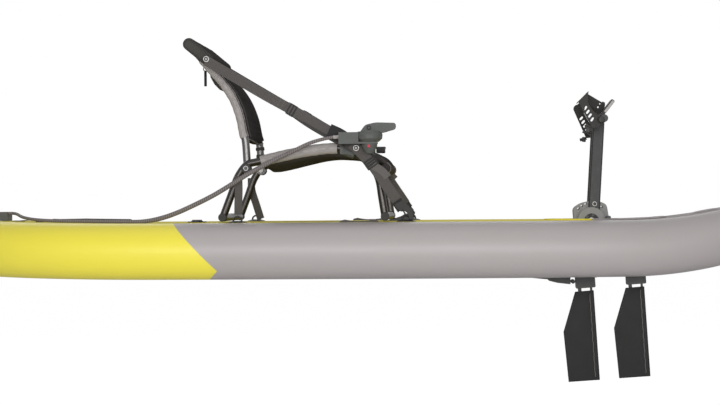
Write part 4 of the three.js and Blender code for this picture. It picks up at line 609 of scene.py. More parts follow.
def dressed(node, finish, bevel):
    """A copy of a frame node with merged faces, rounded edges and its finish, in the node's place."""
    bm = bmesh.new()
    bm.from_mesh(frame["nodes"][node].data)
    bmesh.ops.remove_doubles(bm, verts=bm.verts, dist=0.00002)
    bmesh.ops.dissolve_limit(
        bm, angle_limit=math.radians(1.0), verts=bm.verts, edges=bm.edges, use_dissolve_boundaries=False)
    return piece(f"{node}_dressed", bm, finish, body_of(node), [node], bevel, sharp=32.0)


DRESSED = {
    "moulding": ["steering_bracket", "accessory_mount_left", "steering_handle", "stern_bracket",
                 "rudder_head", "drive_spine", "rear_mast_hub", "front_mast_hub", "right_latch_cam",
                 "left_latch_cam", "drive_well"],
    "black moulding": ["inflation_valve", "valve_cap", "front_tie_down_right", "front_tie_down_left",
                       "rear_tie_down_right", "rear_tie_down_left", "rudder_blade", "zipper_pull"],
    "arm": ["right_crank_arm", "left_crank_arm"],
    "drum": ["right_drum", "left_drum"],
    "pedal": ["right_pedal", "left_pedal"],
    "steel": ["crank_shaft", "mast_axle", "front_chain", "rear_chain", "pivot_bolt_right", "pivot_bolt_left",
              "rudder_pintle", "rudder_bolt"],
    "webbing": ["side_handle_right", "side_handle_left"],
    "fin rubber": ["rear_fin", "front_fin"],
    "seat cloth": ["back_pocket"],
}


# Stage

CAMERA_LENS, CAMERA_DISTANCE, CAMERA_TURN, CAMERA_TILT = 96.73, 6.5, 3.4, 0.0075
CAMERA_TARGET = (-57, 0, 242.6)
LAMPS = [
    ("front lamp", (0.4, -6.0, 0.8), (6.5, 1.6), 246.0),
    ("rear lamp", (-0.8, 4.5, 2.6), (5.0, 2.5), 45.0),
    ("top lamp", (0.0, -0.5, 4.5), (5.0, 3.0), 30.0),
]
LAMP_TARGET = (0, 0, 0.15)
FLOOR_HALF, FLOOR_Z = 14.0, -0.6


class KAYAK_OT_stage(bpy.types.Operator):
    """Sets up the camera, the soft lamps, the white surroundings and the floor"""
    bl_idname = "kayak.stage"
    bl_label = "Stage"

    def execute(self, context):
        self.set_camera(context.scene)
        for lamp in LAMPS:
            self.hang_lamp(context.scene, *lamp)
        self.light_surroundings(context.scene)
        self.lay_floor(context.scene)
        context.scene.view_settings.view_transform = "Standard"
        return {"FINISHED"}

    def set_camera(self, scene):
        """A long lens, turned a little off the beam and rolled a little, as the photo was taken."""
        lens = bpy.data.cameras.new("camera")
        lens.sensor_width = 36.0
        lens.lens = CAMERA_LENS
        lens.clip_end = 60.0
        camera = bpy.data.objects.new("camera", lens)
        scene.collection.objects.link(camera)
        turn = math.radians(CAMERA_TURN)
        back = Vector((math.sin(turn), -math.cos(turn), 0))
        level, upright = Vector((math.cos(turn), math.sin(turn), 0)), Vector((0, 0, 1))
        right = (level - upright * CAMERA_TILT).normalized()
        up = (upright + level * CAMERA_TILT).normalized()
        camera.matrix_world = axes_at(mm(*CAMERA_TARGET) + back * CAMERA_DISTANCE, right, up, back)
        scene.camera = camera

    def hang_lamp(self, scene, name, place, size, power):
        light = bpy.data.lights.new(name, "AREA")
        light.shape = "RECTANGLE"
        light.size, light.size_y = size
        light.energy = power
        lamp = bpy.data.objects.new(name, light)
        scene.collection.objects.link(lamp)
        turn = (Vector(LAMP_TARGET) - Vector(place)).to_track_quat("-Z", "Y").to_matrix().to_4x4()
        lamp.matrix_world = Matrix.Translation(place) @ turn

    def light_surroundings(self, scene):
        """White to the camera and through glass, less bright in reflections and dim on the pieces."""
        world = bpy.data.worlds.new("surroundings")
        scene.world = world
        world.use_nodes = True
        air = Board(tree=world.node_tree)
        background = air.tree.nodes["Background"]
        background.inputs["Color"].default_value = (1, 1, 1, 1)
        rays = air.node("ShaderNodeLightPath").socket.node.outputs
        clear = Wire(air, rays["Is Camera Ray"]).maths("MAXIMUM", Wire(air, rays["Is Transmission Ray"]))
        strength = clear.maths("MAXIMUM", Wire(air, rays["Is Glossy Ray"]) * 0.8).maths("MAXIMUM", 0.2)
        air.tree.links.new(strength.maths("MINIMUM", 1.0).socket, background.inputs["Strength"])

    def lay_floor(self, scene):
        """A pale floor that the camera sees as nearly white."""
        bm = bmesh.new()
        bmesh.ops.create_grid(bm, x_segments=2, y_segments=2, size=FLOOR_HALF)
        bmesh.ops.translate(bm, vec=(0, 0, FLOOR_Z), verts=bm.verts)
        mesh = bpy.data.meshes.new("floor")
        bm.to_mesh(mesh)
        bm.free()
        floor = bpy.data.objects.new("floor", mesh)
        scene.collection.objects.link(floor)
        pale = Board("pale_floor")
        pale.surface.inputs["Base Color"].default_value = (0.93, 0.93, 0.93, 1)
        pale.surface.inputs["Roughness"].default_value = 0.9
        share = Wire(pale, pale.node("ShaderNodeLightPath").socket.node.outputs["Is Camera Ray"]) * 0.9
        glow = pale.node("ShaderNodeEmission", None, (1, 1, 1, 1), 1.08)
        mixed = pale.node("ShaderNodeMixShader", None, share, Wire(pale, pale.surface.outputs[0]), glow)
        pale.tree.links.new(mixed.socket, pale.tree.nodes["Material Output"].inputs["Surface"])
        mesh.materials.append(pale.material)
        floor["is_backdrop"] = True


# Hull

PLAN_SHARES = [
    (-1, 0.3), (-0.994, 0.44), (-0.968, 0.58), (-0.91, 0.7), (-0.8, 0.83), (-0.62, 0.94), (-0.38, 0.99),
    (-0.1, 1), (0.15, 1), (0.35, 0.965), (0.5, 0.9), (0.64, 0.79), (0.76, 0.645), (0.86, 0.48), (0.935, 0.3),
    (0.98, 0.15), (1, 0),
]
BOW_ROCKER_FROM, STERN_ROCKER_FROM = 0.82, -0.7
SLOT_X, SLOT_HALVES, SLOT_CORNER = 0.76, (0.1747, 0.0747), 0.03
POCKET_X, POCKET_Y, POCKET_RADIUS, POCKET_DEPTH = -0.6, -0.06, 0.0252, 0.03
CUTS_BEFORE, CUTS_BEHIND, CUT_SPACING = 0.8, -0.68, 0.04


def rocker_at(x):
    """How far the hull has risen at a place along it."""
    hull = bpy.context.scene.kayak_hull
    half = hull.length / 2
    if x > BOW_ROCKER_FROM:
        return hull.bow_rise * ((x - BOW_ROCKER_FROM) / (half - BOW_ROCKER_FROM)) ** 2
    if x < STERN_ROCKER_FROM:
        return hull.stern_rise * ((STERN_ROCKER_FROM - x) / (half + STERN_ROCKER_FROM)) ** 2
    return 0.0


def deck_outline():
    """The flat deck's outline, from the stern round the port side to the bow and back."""
    hull = bpy.context.scene.kayak_hull
    rail = hull.thickness / 2
    half_length, half_beam = hull.length / 2 - rail, hull.beam / 2 - rail
    port = smooth_route([(x * half_length, y * half_beam, 0) for x, y in PLAN_SHARES], 0.03)
    return [*port, *[Vector((p.x, -p.y, 0)) for p in reversed(port[:-1])]]


class KAYAK_OT_hull(bpy.types.Operator):
    """Builds the inflated hull: deck and bottom sheets and half-round rails, with the drive's slot and a round
    pocket in the deck
    """
    bl_idname = "kayak.hull"
    bl_label = "Hull"

    def execute(self, context):
        hull = context.scene.kayak_hull
        rail = hull.thickness / 2
        outline = deck_outline()
        count = len(outline)
        outward = []
        for i in range(count):
            along = outline[(i + 1) % count] - outline[i - 1]
            outward.append(Vector((-along.y, along.x, 0)).normalized())
        bm = bmesh.new()
        ring, edges = ring_of(bm, outline)
        bottom_edges = edges
        steps = 20
        for step in range(1, steps + 1):
            angle = (step / steps - 0.5) * math.pi
            reach, height = rail * math.cos(angle), rail * (1 + math.sin(angle))
            places = [(p.x + out.x * reach, p.y + out.y * reach, height) for p, out in zip(outline, outward)]
            ring, edges = step_ring(bm, ring, edges, places)
        slot = [Vector((SLOT_X + x, y, 0)) for x, y in rounded_rectangle(*SLOT_HALVES, SLOT_CORNER)]
        sheets = []
        for boundary, height in ((bottom_edges, 0.0), (edges, hull.thickness)):
            hole = [bm.verts.new((p.x, p.y, height)) for p in slot]
            hole_edges = [bm.edges.new((a, b)) for a, b in zip(hole, hole[1:] + hole[:1])]
            if height:
                angles = [math.pi * i / 16 for i in range(32)]
                pocket, pocket_edges = ring_of(bm, [
                    (POCKET_X + POCKET_RADIUS * math.cos(a), POCKET_Y + POCKET_RADIUS * math.sin(a), height)
                    for a in angles])
                boundary = [*boundary, *pocket_edges]
            filled = bmesh.ops.triangle_fill(bm, use_beauty=True, edges=[*boundary, *hole_edges])["geom"]
            sheets.append((hole_edges, [g for g in filled if isinstance(g, bmesh.types.BMFace)]))
        for face in bm.faces:
            face.material_index = 1
        for index, (_, faces) in zip((2, 0), sheets):
            for face in faces:
                face.material_index = index
        bmesh.ops.bridge_loops(bm, edges=[*sheets[0][0], *sheets[1][0]])
        floor = step_ring(bm, pocket, pocket_edges, [v.co - Vector((0, 0, POCKET_DEPTH)) for v in pocket])[1]
        bmesh.ops.contextual_create(bm, geom=floor)
        x = -hull.length / 2
        while x < hull.length / 2:
            if x > CUTS_BEFORE or x < CUTS_BEHIND:
                whole = [*bm.verts, *bm.edges, *bm.faces]
                bmesh.ops.bisect_plane(bm, geom=whole, plane_co=(x, 0, 0), plane_no=(1, 0, 0))
            x += CUT_SPACING
        for vert in bm.verts:
            vert.co.z += rocker_at(vert.co.x)
        bmesh.ops.recalc_face_normals(bm, faces=bm.faces)
        piece("hull_skin", bm, ["deck skin", "side skin", "bottom skin"], "kayak", ["hull"], sharp=40)
        return {"FINISHED"}


def rounded_rectangle(half_length, half_width, corner):
    """The corners of a rectangle with rounded corners, as (x, y)."""
    points = []
    for sx, sy, quarter in ((1, 1, 0), (-1, 1, 1), (-1, -1, 2), (1, -1, 3)):
        for i in range(7):
            angle = (quarter + i / 6) * math.pi / 2
            points.append((sx * (half_length - corner) + corner * math.cos(angle),
                           sy * (half_width - corner) + corner * math.sin(angle)))
    return points


EDGE_ROUNDING, WELL_FLANGE_Z = 0.0007, 0.15


class KAYAK_OT_hardware(bpy.types.Operator):
    """Gives the moulded, metal and rubber parts rounded edges and their finishes"""
    bl_idname = "kayak.hardware"
    bl_label = "Moulded and metal parts"

    def execute(self, context):
        for finish, nodes in DRESSED.items():
            for node in nodes:
                dressed(node, finish, 0.0 if finish == "seat cloth" else EDGE_ROUNDING)
        well = bpy.data.objects["drive_well_dressed"]
        well.data.materials.append(finishes["deck skin"])
        for face in well.data.polygons:
            face.material_index = int(face.center.z > WELL_FLANGE_Z)
        return {"FINISHED"}


def surface_y(node, x, z):
    """How far out a node's starboard face is at a place in the side view."""
    bm = bmesh.new()
    bm.from_mesh(frame["nodes"][node].data)
    hit = BVHTree.FromBMesh(bm).ray_cast(Vector((x, -2, z)), Vector((0, 1, 0)))[0]
    bm.free()
    if hit is None:
        raise RuntimeError(f"{node} has no face at {x}, {z}")
    return hit.y


def disc(place, radius, height, outward=(0, -1, 0), rim=0.0006):
    """A small button with a rounded rim."""
    profile = [(0, 0), (radius, 0), (radius, height - rim), (radius - rim, height), (0, height)]
    return turned(profile, place, outward)


SPINDLE = Vector((0.74905, 0, 0.50992))
STRAP_SIDE = [
    (-50.2, 88.1), (-84, 54.7), (-38.2, -32.8), (-20.1, -29.7), (-2.6, -12.5), (-16.6, 9.2), (-30.4, 18.4),
    (-52.4, 51.4),
]
STRAP_FAR_SIDE = [(-50.2, 88.1), (-76.1, 80.4), (-84.4, 76.3), (-89.3, 70), (-89.9, 61.4), *STRAP_SIDE[2:]]
STRAP_INSIDE = [(-50.2, 88.1), (11.4, 50.4), (0.3, 5.6), (-17, 26)]
STRAP_SLOTS = [(-60.3, 33.6), (-52.6, 21.6), (-45.6, 9.5), (-38.6, -3.3)]
STRAP_EYELETS = [(-5.9, 51.9), (-12.6, 41.1), (-15.6, 33.3), (2.9, 43.2)]
STRAP_TAIL = [(-40, -30), (-60, -36), (-57, -46), (-34, -37)]
STRAP_INNER_Y, STRAP_OUTER_Y, STRAP_SPAN, FOLD_THICKNESS, FOLD_ARCH = 66.2, 176.6, 110.4, 2.4, 0.8
FOOT_STRAPS = {  # outer plate, last corner of the inner plate, the buckle's x, turn in degrees and shift
    "right": (STRAP_SIDE, (-51, 62), -52, 0, (0, 0, 0)),
    "left": (STRAP_FAR_SIDE, (-44, 64), -45, 5.4, (0.0021, 0, -0.0236)),
}


def plate(outline, holes, near, far):
    """A flat plate with holes through it, upright along the hull, from one y to another."""
    bm = bmesh.new()
    edges = []
    for loop in (outline, *holes):
        edges += ring_of(bm, [(x, near, z) for x, z in loop])[1]
    filled = bmesh.ops.triangle_fill(bm, use_beauty=True, edges=edges)["geom"]
    faces = [g for g in filled if isinstance(g, bmesh.types.BMFace)]
    made = bmesh.ops.extrude_face_region(bm, geom=faces)["geom"]
    corners = [g for g in made if isinstance(g, bmesh.types.BMVert)]
    bmesh.ops.translate(bm, vec=(0, far - near, 0), verts=corners)
    bmesh.ops.recalc_face_normals(bm, faces=bm.faces)
    return bm


def round_ended(centre, length, width, lean):
    """The outline of a slot: two half circles, length apart over all, leaning from the level."""
    points = []
    for end in (0, 1):
        for i in range(7):
            angle = (end + i / 6 - 0.5) * math.pi
            along = (length - width) / 2 * (1 - 2 * end) + width / 2 * math.cos(angle)
            across = width / 2 * math.sin(angle)
            points.append((centre[0] + along * math.cos(lean) - across * math.sin(lean),
                           centre[1] + along * math.sin(lean) + across * math.cos(lean)))
    return points


class KAYAK_OT_foot_straps(bpy.types.Operator):
    """Cuts the slotted foot straps, folds them over the pedals and fits their buckles"""
    bl_idname = "kayak.foot_straps"
    bl_label = "Foot straps"

    def execute(self, context):
        slots = [round_ended(centre, 15, 6.4, math.radians(53)) for centre in STRAP_SLOTS]
        eyelets = [round_ended(centre, 6, 5.6, 0) for centre in STRAP_EYELETS]
        for side, sign in SIDES:
            cut, corner, buckle_x, degrees, shift = FOOT_STRAPS[side]
            peak, heel = (Vector((x, 0, z)) for x, z in cut[:2])
            lift = Vector((0, 1, 0)).cross(heel - peak).normalized()
            lift *= 1 if lift.dot(peak) > 0 else -1
            middle, under = peak.lerp(heel, 0.5), lift * FOLD_THICKNESS
            outside = plate(cut, slots, sign * 174.2, sign * STRAP_OUTER_Y)
            inside = plate([*STRAP_INSIDE, corner], eyelets, sign * STRAP_INNER_Y, sign * 68.6)
            rings = []
            for i in range(13):
                y = sign * (STRAP_INNER_Y + STRAP_SPAN * i / 12)
                rise = lift * FOLD_ARCH * math.sin(math.pi * i / 12)
                rings.append([p + rise + Vector((0, y, 0)) for p in (
                    peak, middle, heel, heel - under, middle - under, peak - under)])
            tail = plate(STRAP_TAIL, [], sign * 172.4, sign * 174.2)
            strap = merge(outside, inside, loft(rings), tail)
            buckle = rounded_block((13, 12, 17), (buckle_x, sign * 170, -38), 2.0)
            turn = Matrix.Rotation(math.radians(degrees), 4, "Y")
            place = Matrix.Translation(SPINDLE + Vector(shift)) @ turn @ Matrix.Scale(MM, 4)
            node = f"{side}_foot_strap"
            for name, bm, finish, replaced in [
                ("strap", strap, "pedal", [node]), ("buckle", buckle, "arm", ()),
            ]:
                bmesh.ops.transform(bm, matrix=place, verts=bm.verts)
                piece(f"{side}_foot_{name}_cut", bm, finish, body_of(node), replaced, 0.0005)
        return {"FINISHED"}


HANDLE_X, HUB_Z, HANDLE_SCREW_Z = -0.009, 0.423, 0.482
RAIL_BOLT_X, RAIL_BOLT_Y, RAIL_BOLT_Z = -0.052, 0.2745, 0.418
INDEX_BOLT_X, INDEX_BOLT_Y, INDEX_BOLT_Z = 0.7235, 0.0565, 0.2325
KNOB_X, KNOB_Y, KNOB_Z = 0.7395, 0.1785, 0.5055
DRUM_X, DRUM_Z, DRUM_HOLE_SHADE_Y, DRUM_BOLT_Y = 0.713, 0.176, 0.0552, 0.0562
DRUM_HOLE_SHADE_RADIUS, DRUM_BOLT_CIRCLE = 0.0262, 0.0198
MOUNT_SOCKET_SIZE, MOUNT_SOCKET_PLACE = (0.03, 0.05, 0.02), (0.0015, 0.266, 0.4245)
BOW_HANDLE_X, STERN_HANDLE_X = 1.09, -1.165
SEAM_ROWS, SEAM_INSET = 26, 0.013
TOE_STRIP_FROM, TOE_STRIP_RUN = (0.752, 0.53), (0.028, 0.036)
TOE_STRIP_TURN = {"right": 0, "left": -13.5}
HANDLE_SCREW = [
    (0.0035, 0), (0.0075, 0), (0.0075, 0.001), (0.0068, 0.0016), (0.0042, 0.0016), (0.0035, 0.0006),
    (0.0035, 0),
]
SOCKET_BOLT = [
    (0, 0), (0.0052, 0), (0.0052, 0.0022), (0.0046, 0.0028), (0.0024, 0.0028), (0.0022, 0.0014), (0, 0.0014),
]
PEDAL_KNOB = [(0, 0), (0.0105, 0), (0.0115, 0.002), (0.0115, 0.009), (0.009, 0.012), (0, 0.0125)]
KEEL_BOLT = [(0, -0.02), (0.006, -0.02), (0.007, -0.019), (0.007, 0.019), (0.006, 0.02), (0, 0.02)]
KEEL_WEDGE = [
    (0.561, -0.003), (0.561, -0.012), (0.572, -0.022), (0.6, -0.029), (0.643, -0.034), (0.643, -0.003),
]
KEEL_HALF = 0.0458


class KAYAK_OT_fittings(bpy.types.Operator):
    """Adds the screws, marks, bolts, ferrules and webbing handles to the moulded parts"""
    bl_idname = "kayak.fittings"
    bl_label = "Screws, marks and handles"

    def execute(self, context):
        hub_y = surface_y("steering_bracket", HANDLE_X, HUB_Z)
        piece("steering_mark", disc((HANDLE_X, hub_y, HUB_Z), 0.0048, 0.0006), "red mark", "kayak")
        screw_y = surface_y("steering_handle", HANDLE_X, HANDLE_SCREW_Z)
        ring = turned(HANDLE_SCREW, (HANDLE_X, screw_y, HANDLE_SCREW_Z), (0, -1, 0))
        piece("handle_screw_rim", ring, "black moulding", body_of("steering_handle"))
        for side, sign in SIDES:
            self.drive_fittings(side, sign)
        block = rounded_block(MOUNT_SOCKET_SIZE, MOUNT_SOCKET_PLACE, 0.003)
        piece("left_mount_socket", block, "black moulding", "kayak")
        start, end = (mm(*place) for place in CONDUIT_ROUTE[:2])
        ferrule = rod([start.lerp(end, t) for t in (0.02, 0.35, 0.7)], 0.0062, 16)
        piece("conduit_ferrule", ferrule, "pale moulding", "kayak", sharp=50)
        # The bow handle's patches take the lightened hull grey: painted light on the flat deck.
        carry_handle("bow", BOW_HANDLE_X, "skin webbing", "skin moulding")
        carry_handle("stern", STERN_HANDLE_X, "dark webbing", "black moulding")
        self.keel_fairing()
        for end in ("front", "rear"):
            self.fin_seam(f"{end}_fin")
        for side, sign in SIDES:
            self.toe_strip(side, sign)
        return {"FINISHED"}

    def drive_fittings(self, side, sign):
        """One side's rail bolt, index bolt, the black disc of painted shade in the drum's hole, drum bolts and
        pedal knob.
        """
        outward = (0, sign, 0)
        ring_bolt(f"rail_bolt_{side}", (RAIL_BOLT_X, sign * RAIL_BOLT_Y, RAIL_BOLT_Z), "kayak", outward, 0.0098)
        arm = body_of(f"{side}_crank_arm")
        place = (INDEX_BOLT_X, sign * INDEX_BOLT_Y, INDEX_BOLT_Z)
        ring_bolt(f"{side}_index_bolt", place, arm, outward, 0.0078)
        # A flat black disc in the middle of the drum: painted shade, standing for the dark inside of the drum's
        # hole.
        hole_shade = disc((DRUM_X, sign * DRUM_HOLE_SHADE_Y, DRUM_Z), DRUM_HOLE_SHADE_RADIUS, 0.001, outward)
        piece(f"{side}_drum_hole_shade", hole_shade, "black moulding", arm)
        heads = []
        for angle in [math.radians(60 * i + 15) for i in range(6)]:
            x, z = DRUM_X + DRUM_BOLT_CIRCLE * math.cos(angle), DRUM_Z + DRUM_BOLT_CIRCLE * math.sin(angle)
            heads.append(turned(SOCKET_BOLT, (x, sign * DRUM_BOLT_Y, z), outward, 6))
        piece(f"{side}_drum_bolts", merge(*heads), "moulding", arm)
        knob = turned(PEDAL_KNOB, (KNOB_X, sign * KNOB_Y, KNOB_Z), outward)
        piece(f"{side}_pedal_knob", knob, "black moulding", body_of(f"{side}_pedal"))

    def keel_fairing(self):
        """The wedge under the hull behind the drive, and its bolt."""
        bm = bmesh.new()
        ring, edges = ring_of(bm, [(x, -KEEL_HALF, z) for x, z in KEEL_WEDGE])
        step_ring(bm, ring, edges, [(x, KEEL_HALF, z) for x, z in KEEL_WEDGE])
        bmesh.ops.holes_fill(bm, edges=bm.edges, sides=0)
        bmesh.ops.recalc_face_normals(bm, faces=bm.faces)
        piece("keel_fairing", bm, "moulding", "kayak", bevel=0.002)
        piece("keel_bolt", turned(KEEL_BOLT, (0.6525, 0, -0.026), (0, 1, 0)), "moulding", "kayak")

    def fin_seam(self, node):
        """A sewn line a finger's width inside the fin's leading edge, on both of its faces."""
        bm = bmesh.new()
        bm.from_mesh(frame["nodes"][node].data)
        tree = BVHTree.FromBMesh(bm)
        low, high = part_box(node)
        for side, sign in SIDES:
            points = []
            for i in range(SEAM_ROWS):
                z = high[2] - 0.012 - (high[2] - low[2] - 0.03) * i / (SEAM_ROWS - 1)
                hits = [x for x in (high[0] - 0.002 * k for k in range(80))
                        if tree.ray_cast(Vector((x, sign, z)), Vector((0, -sign, 0)))[0]]
                if hits:
                    x = hits[0] - SEAM_INSET
                    face = tree.ray_cast(Vector((x, sign, z)), Vector((0, -sign, 0)))[0]
                    if face:
                        points.append(Vector((x, face.y, z)))
            seam = rod(smooth_route(points, 0.01), 0.0009, 8)
            piece(f"{node}_seam_{side}", seam, "thread", body_of(node), sharp=60)
        bm.free()

    def toe_strip(self, side, sign):
        """The pale strip on the outer face of a pedal, up to its toe."""
        node = f"{side}_pedal"
        bm = bmesh.new()
        bm.from_mesh(frame["nodes"][node].data)
        tree = BVHTree.FromBMesh(bm)
        turn = Matrix.Rotation(math.radians(TOE_STRIP_TURN[side]), 3, "Y")
        (x, z), (run, rise) = TOE_STRIP_FROM, TOE_STRIP_RUN
        points = []
        for i in range(9):
            place = Vector((x + run * i / 8, 0, z + rise * i / 8)) - SPINDLE
            place = turn @ place + SPINDLE
            face = tree.ray_cast(Vector((place.x, sign, place.z)), Vector((0, -sign, 0)))[0]
            if face:
                points.append(Vector((place.x, face.y + sign * 0.0005, place.z)))
        bm.free()
        if len(points) < 3:
            raise RuntimeError(f"{node} has no face for its toe strip")
        strip = sweep(band_profile(0.009, 0.0016), face_frames(points))
        piece(f"{side}_toe_strip", strip, "pale moulding", body_of(node), sharp=50)


ON_DECK, HANDLE_BAND_Z, PAD_EYE_Z = 0.1803, 0.1815, 0.1806
HANDLE_RISE = [
    (-0.07, 0.0), (-0.05, 0.0006), (-0.025, 0.003), (0.0, 0.0036), (0.025, 0.003), (0.05, 0.0006),
    (0.07, 0.0),
]
HANDLE_PATCH = [(0, -0.0004), (0.021, -0.0004), (0.0215, 0.0006), (0.02, 0.0013), (0, 0.0013)]


def carry_handle(end, centre, webbing, patch):
    """A low webbing handle with a round patch under each end."""
    route = []
    for along, lift in HANDLE_RISE:
        x = centre + along
        route.append(Vector((x, 0, HANDLE_BAND_Z + rocker_at(x) + lift)))
    strap = sweep(band_profile(0.026, 0.0022), stations(smooth_route(route, 0.006), (0, 1, 0)))
    patches = []
    for x in (centre - 0.0535, centre + 0.0535):
        lean = math.atan((rocker_at(x + 0.01) - rocker_at(x - 0.01)) / 0.02)
        upwards = (-math.sin(lean), 0, math.cos(lean))
        patches.append(turned(HANDLE_PATCH, (x, 0, ON_DECK + rocker_at(x)), upwards))
    piece(f"{end}_handle_band", strap, webbing, "kayak", [f"{end}_handle"], sharp=50)
    piece(f"{end}_handle_patches", merge(*patches), patch, "kayak", sharp=50)


# Seat

SEAT_FOOT, SEAT_SPAN, SEAT_RISE, TUBE_Z = -0.49, 0.528, 0.222, 0.1973
SEAT_HALF, BACK_HALF, BACK_RISE = 0.235, 0.208, 0.409
PIVOT = (-0.412, 0.356)
SIDE_TUBE_SHARES = [
    (0, 0), (0.05, 0.31), (0.099, 0.61), (0.153, 0.77), (0.218, 0.811), (0.294, 0.856), (0.498, 0.955),
    (0.665, 1), (0.75, 0.991), (0.837, 0.91), (0.939, 0.667), (0.964, 0.536), (0.982, 0.27), (1, 0),
]
HOOP_SHARES = [
    (0, 0.02), (0.015, 0.23), (0.03, 0.285), (0.059, 0.428), (0.115, 0.57), (0.186, 0.677), (0.257, 0.763),
    (0.298, 0.807), (0.399, 0.927), (0.452, 0.993),
]
TUBE_RADIUS, CROSS_BAR_HALF = 0.0125, 0.248
FOOT_CAP = [(0, -0.016), (0.0128, -0.016), (0.0138, -0.0145), (0.0138, 0.0145), (0.0128, 0.016), (0, 0.016)]
HOOP_EYE = [(0, -0.0125), (0.0145, -0.0125), (0.0145, 0.0125), (0, 0.0125)]
FAR_LEG_TIES_AND_SHADE = [(0.035, 0.062), (0.075, 0.105), (0.135, 0.16)]
KNUCKLE = [(0, -0.0132), (0.0148, -0.0132), (0.0158, -0.012), (0.0158, 0.012), (0.0148, 0.0132), (0, 0.0132)]


def seat_point(share, y):
    """A place in the plane of a side tube, from its shares of the seat's length and rise."""
    return Vector((SEAT_FOOT + share[0] * SEAT_SPAN, y, TUBE_Z + share[1] * SEAT_RISE))


def side_route(y, spacing=0.01):
    """The middle line of a side tube."""
    return smooth_route([seat_point(share, y) for share in SIDE_TUBE_SHARES], spacing)


def hoop_point(share, y):
    """A place in the plane of a hoop side, from its shares of the back's rise behind and above the pivot."""
    return Vector((PIVOT[0] - share[0] * BACK_RISE, y, PIVOT[1] + share[1] * BACK_RISE))


def hoop_route():
    """The middle line of the back hoop, up one side, over and down the other."""
    sides = [[hoop_point(share, sign * BACK_HALF) for share in HOOP_SHARES[:-1]] for sign in (-1, 1)]
    top = HOOP_SHARES[-1]
    shoulders = [hoop_point(top, sign * (BACK_HALF - 0.0233)) for sign in (-1, 1)]
    middle = hoop_point(top, 0) + mm(0, 0, 3.1)
    return smooth_route([*sides[0], shoulders[0], middle, shoulders[1], *reversed(sides[1])], 0.01)


def point_along(route, share):
    """The point at a share of a route's length."""
    lengths = [0.0]
    for a, b in zip(route, route[1:]):
        lengths.append(lengths[-1] + (b - a).length)
    goal = share * lengths[-1]
    for a, b, start, end in zip(route, route[1:], lengths, lengths[1:]):
        if end >= goal:
            return a.lerp(b, (goal - start) / max(end - start, 1e-9))
    return route[-1].copy()


def bar(from_point, to_point):
    """A straight length of the seat's tube."""
    return rod([Vector(from_point).lerp(Vector(to_point), i / 2) for i in range(3)], TUBE_RADIUS, 24)


def turned(profile, place, axis=(0, 0, 1), steps=28):
    """Spins a profile of (radius, height) round an axis through a place."""
    bm = bmesh.new()
    verts = [bm.verts.new((radius, 0, height)) for radius, height in profile]
    edges = [bm.edges.new(pair) for pair in zip(verts, verts[1:])]
    bmesh.ops.spin(bm, geom=[*verts, *edges], cent=(0, 0, 0), axis=(0, 0, 1), dvec=(0, 0, 0),
                   angle=2 * math.pi, steps=steps, use_merge=True, use_duplicate=False)
    bmesh.ops.remove_doubles(bm, verts=bm.verts, dist=1e-6)
    bmesh.ops.dissolve_degenerate(bm, edges=bm.edges, dist=1e-7)
    bmesh.ops.recalc_face_normals(bm, faces=bm.faces)
    turn = Vector((0, 0, 1)).rotation_difference(Vector(axis)).to_matrix().to_4x4()
    bmesh.ops.transform(bm, matrix=Matrix.Translation(place) @ turn, verts=bm.verts)
    return bm


def rounded_block(size, place, edge, turn=None, segments=3):
    """A block with rounded edges: size and place in metres."""
    bm = bmesh.new()
    bmesh.ops.create_cube(bm, size=1.0, matrix=Matrix.Diagonal((*size, 1)))
    bmesh.ops.bevel(bm, geom=[*bm.verts, *bm.edges], offset=edge, offset_type="OFFSET", affect="EDGES",
                    segments=segments, profile=0.5, material=-1)
    bmesh.ops.transform(bm, matrix=Matrix.Translation(place) @ (turn or Matrix.Identity(4)), verts=bm.verts)
    return bm


BOLT_SHARES = [
    (0, 0), (1, 0), (1, 0.0022), (0.94, 0.0034), (0.72, 0.0036), (0.66, 0.002), (0.4, 0.002), (0.36, 0.0032),
    (0.2, 0.0032), (0, 0.0016),
]


def ring_bolt(name, place, body, outward, radius):
    """A bolt head with a bright rim and a bright boss round its socket; the groove and the socket are coloured
    black as painted shade.
    """
    profile = [(share * radius, height) for share, height in BOLT_SHARES]
    head = turned(profile, place, outward)
    axis = Vector(outward)
    # Painted shade: the faces of the recessed groove and of the socket take the black moulding.
    for face in head.faces:
        off_axis = face.calc_center_median() - Vector(place)
        reach = (off_axis - axis * off_axis.dot(axis)).length / radius
        face.material_index = int(0.38 < reach < 0.7 or reach < 0.15)
    piece(name, head, ["bolt ring", "black moulding"], body, sharp=40)


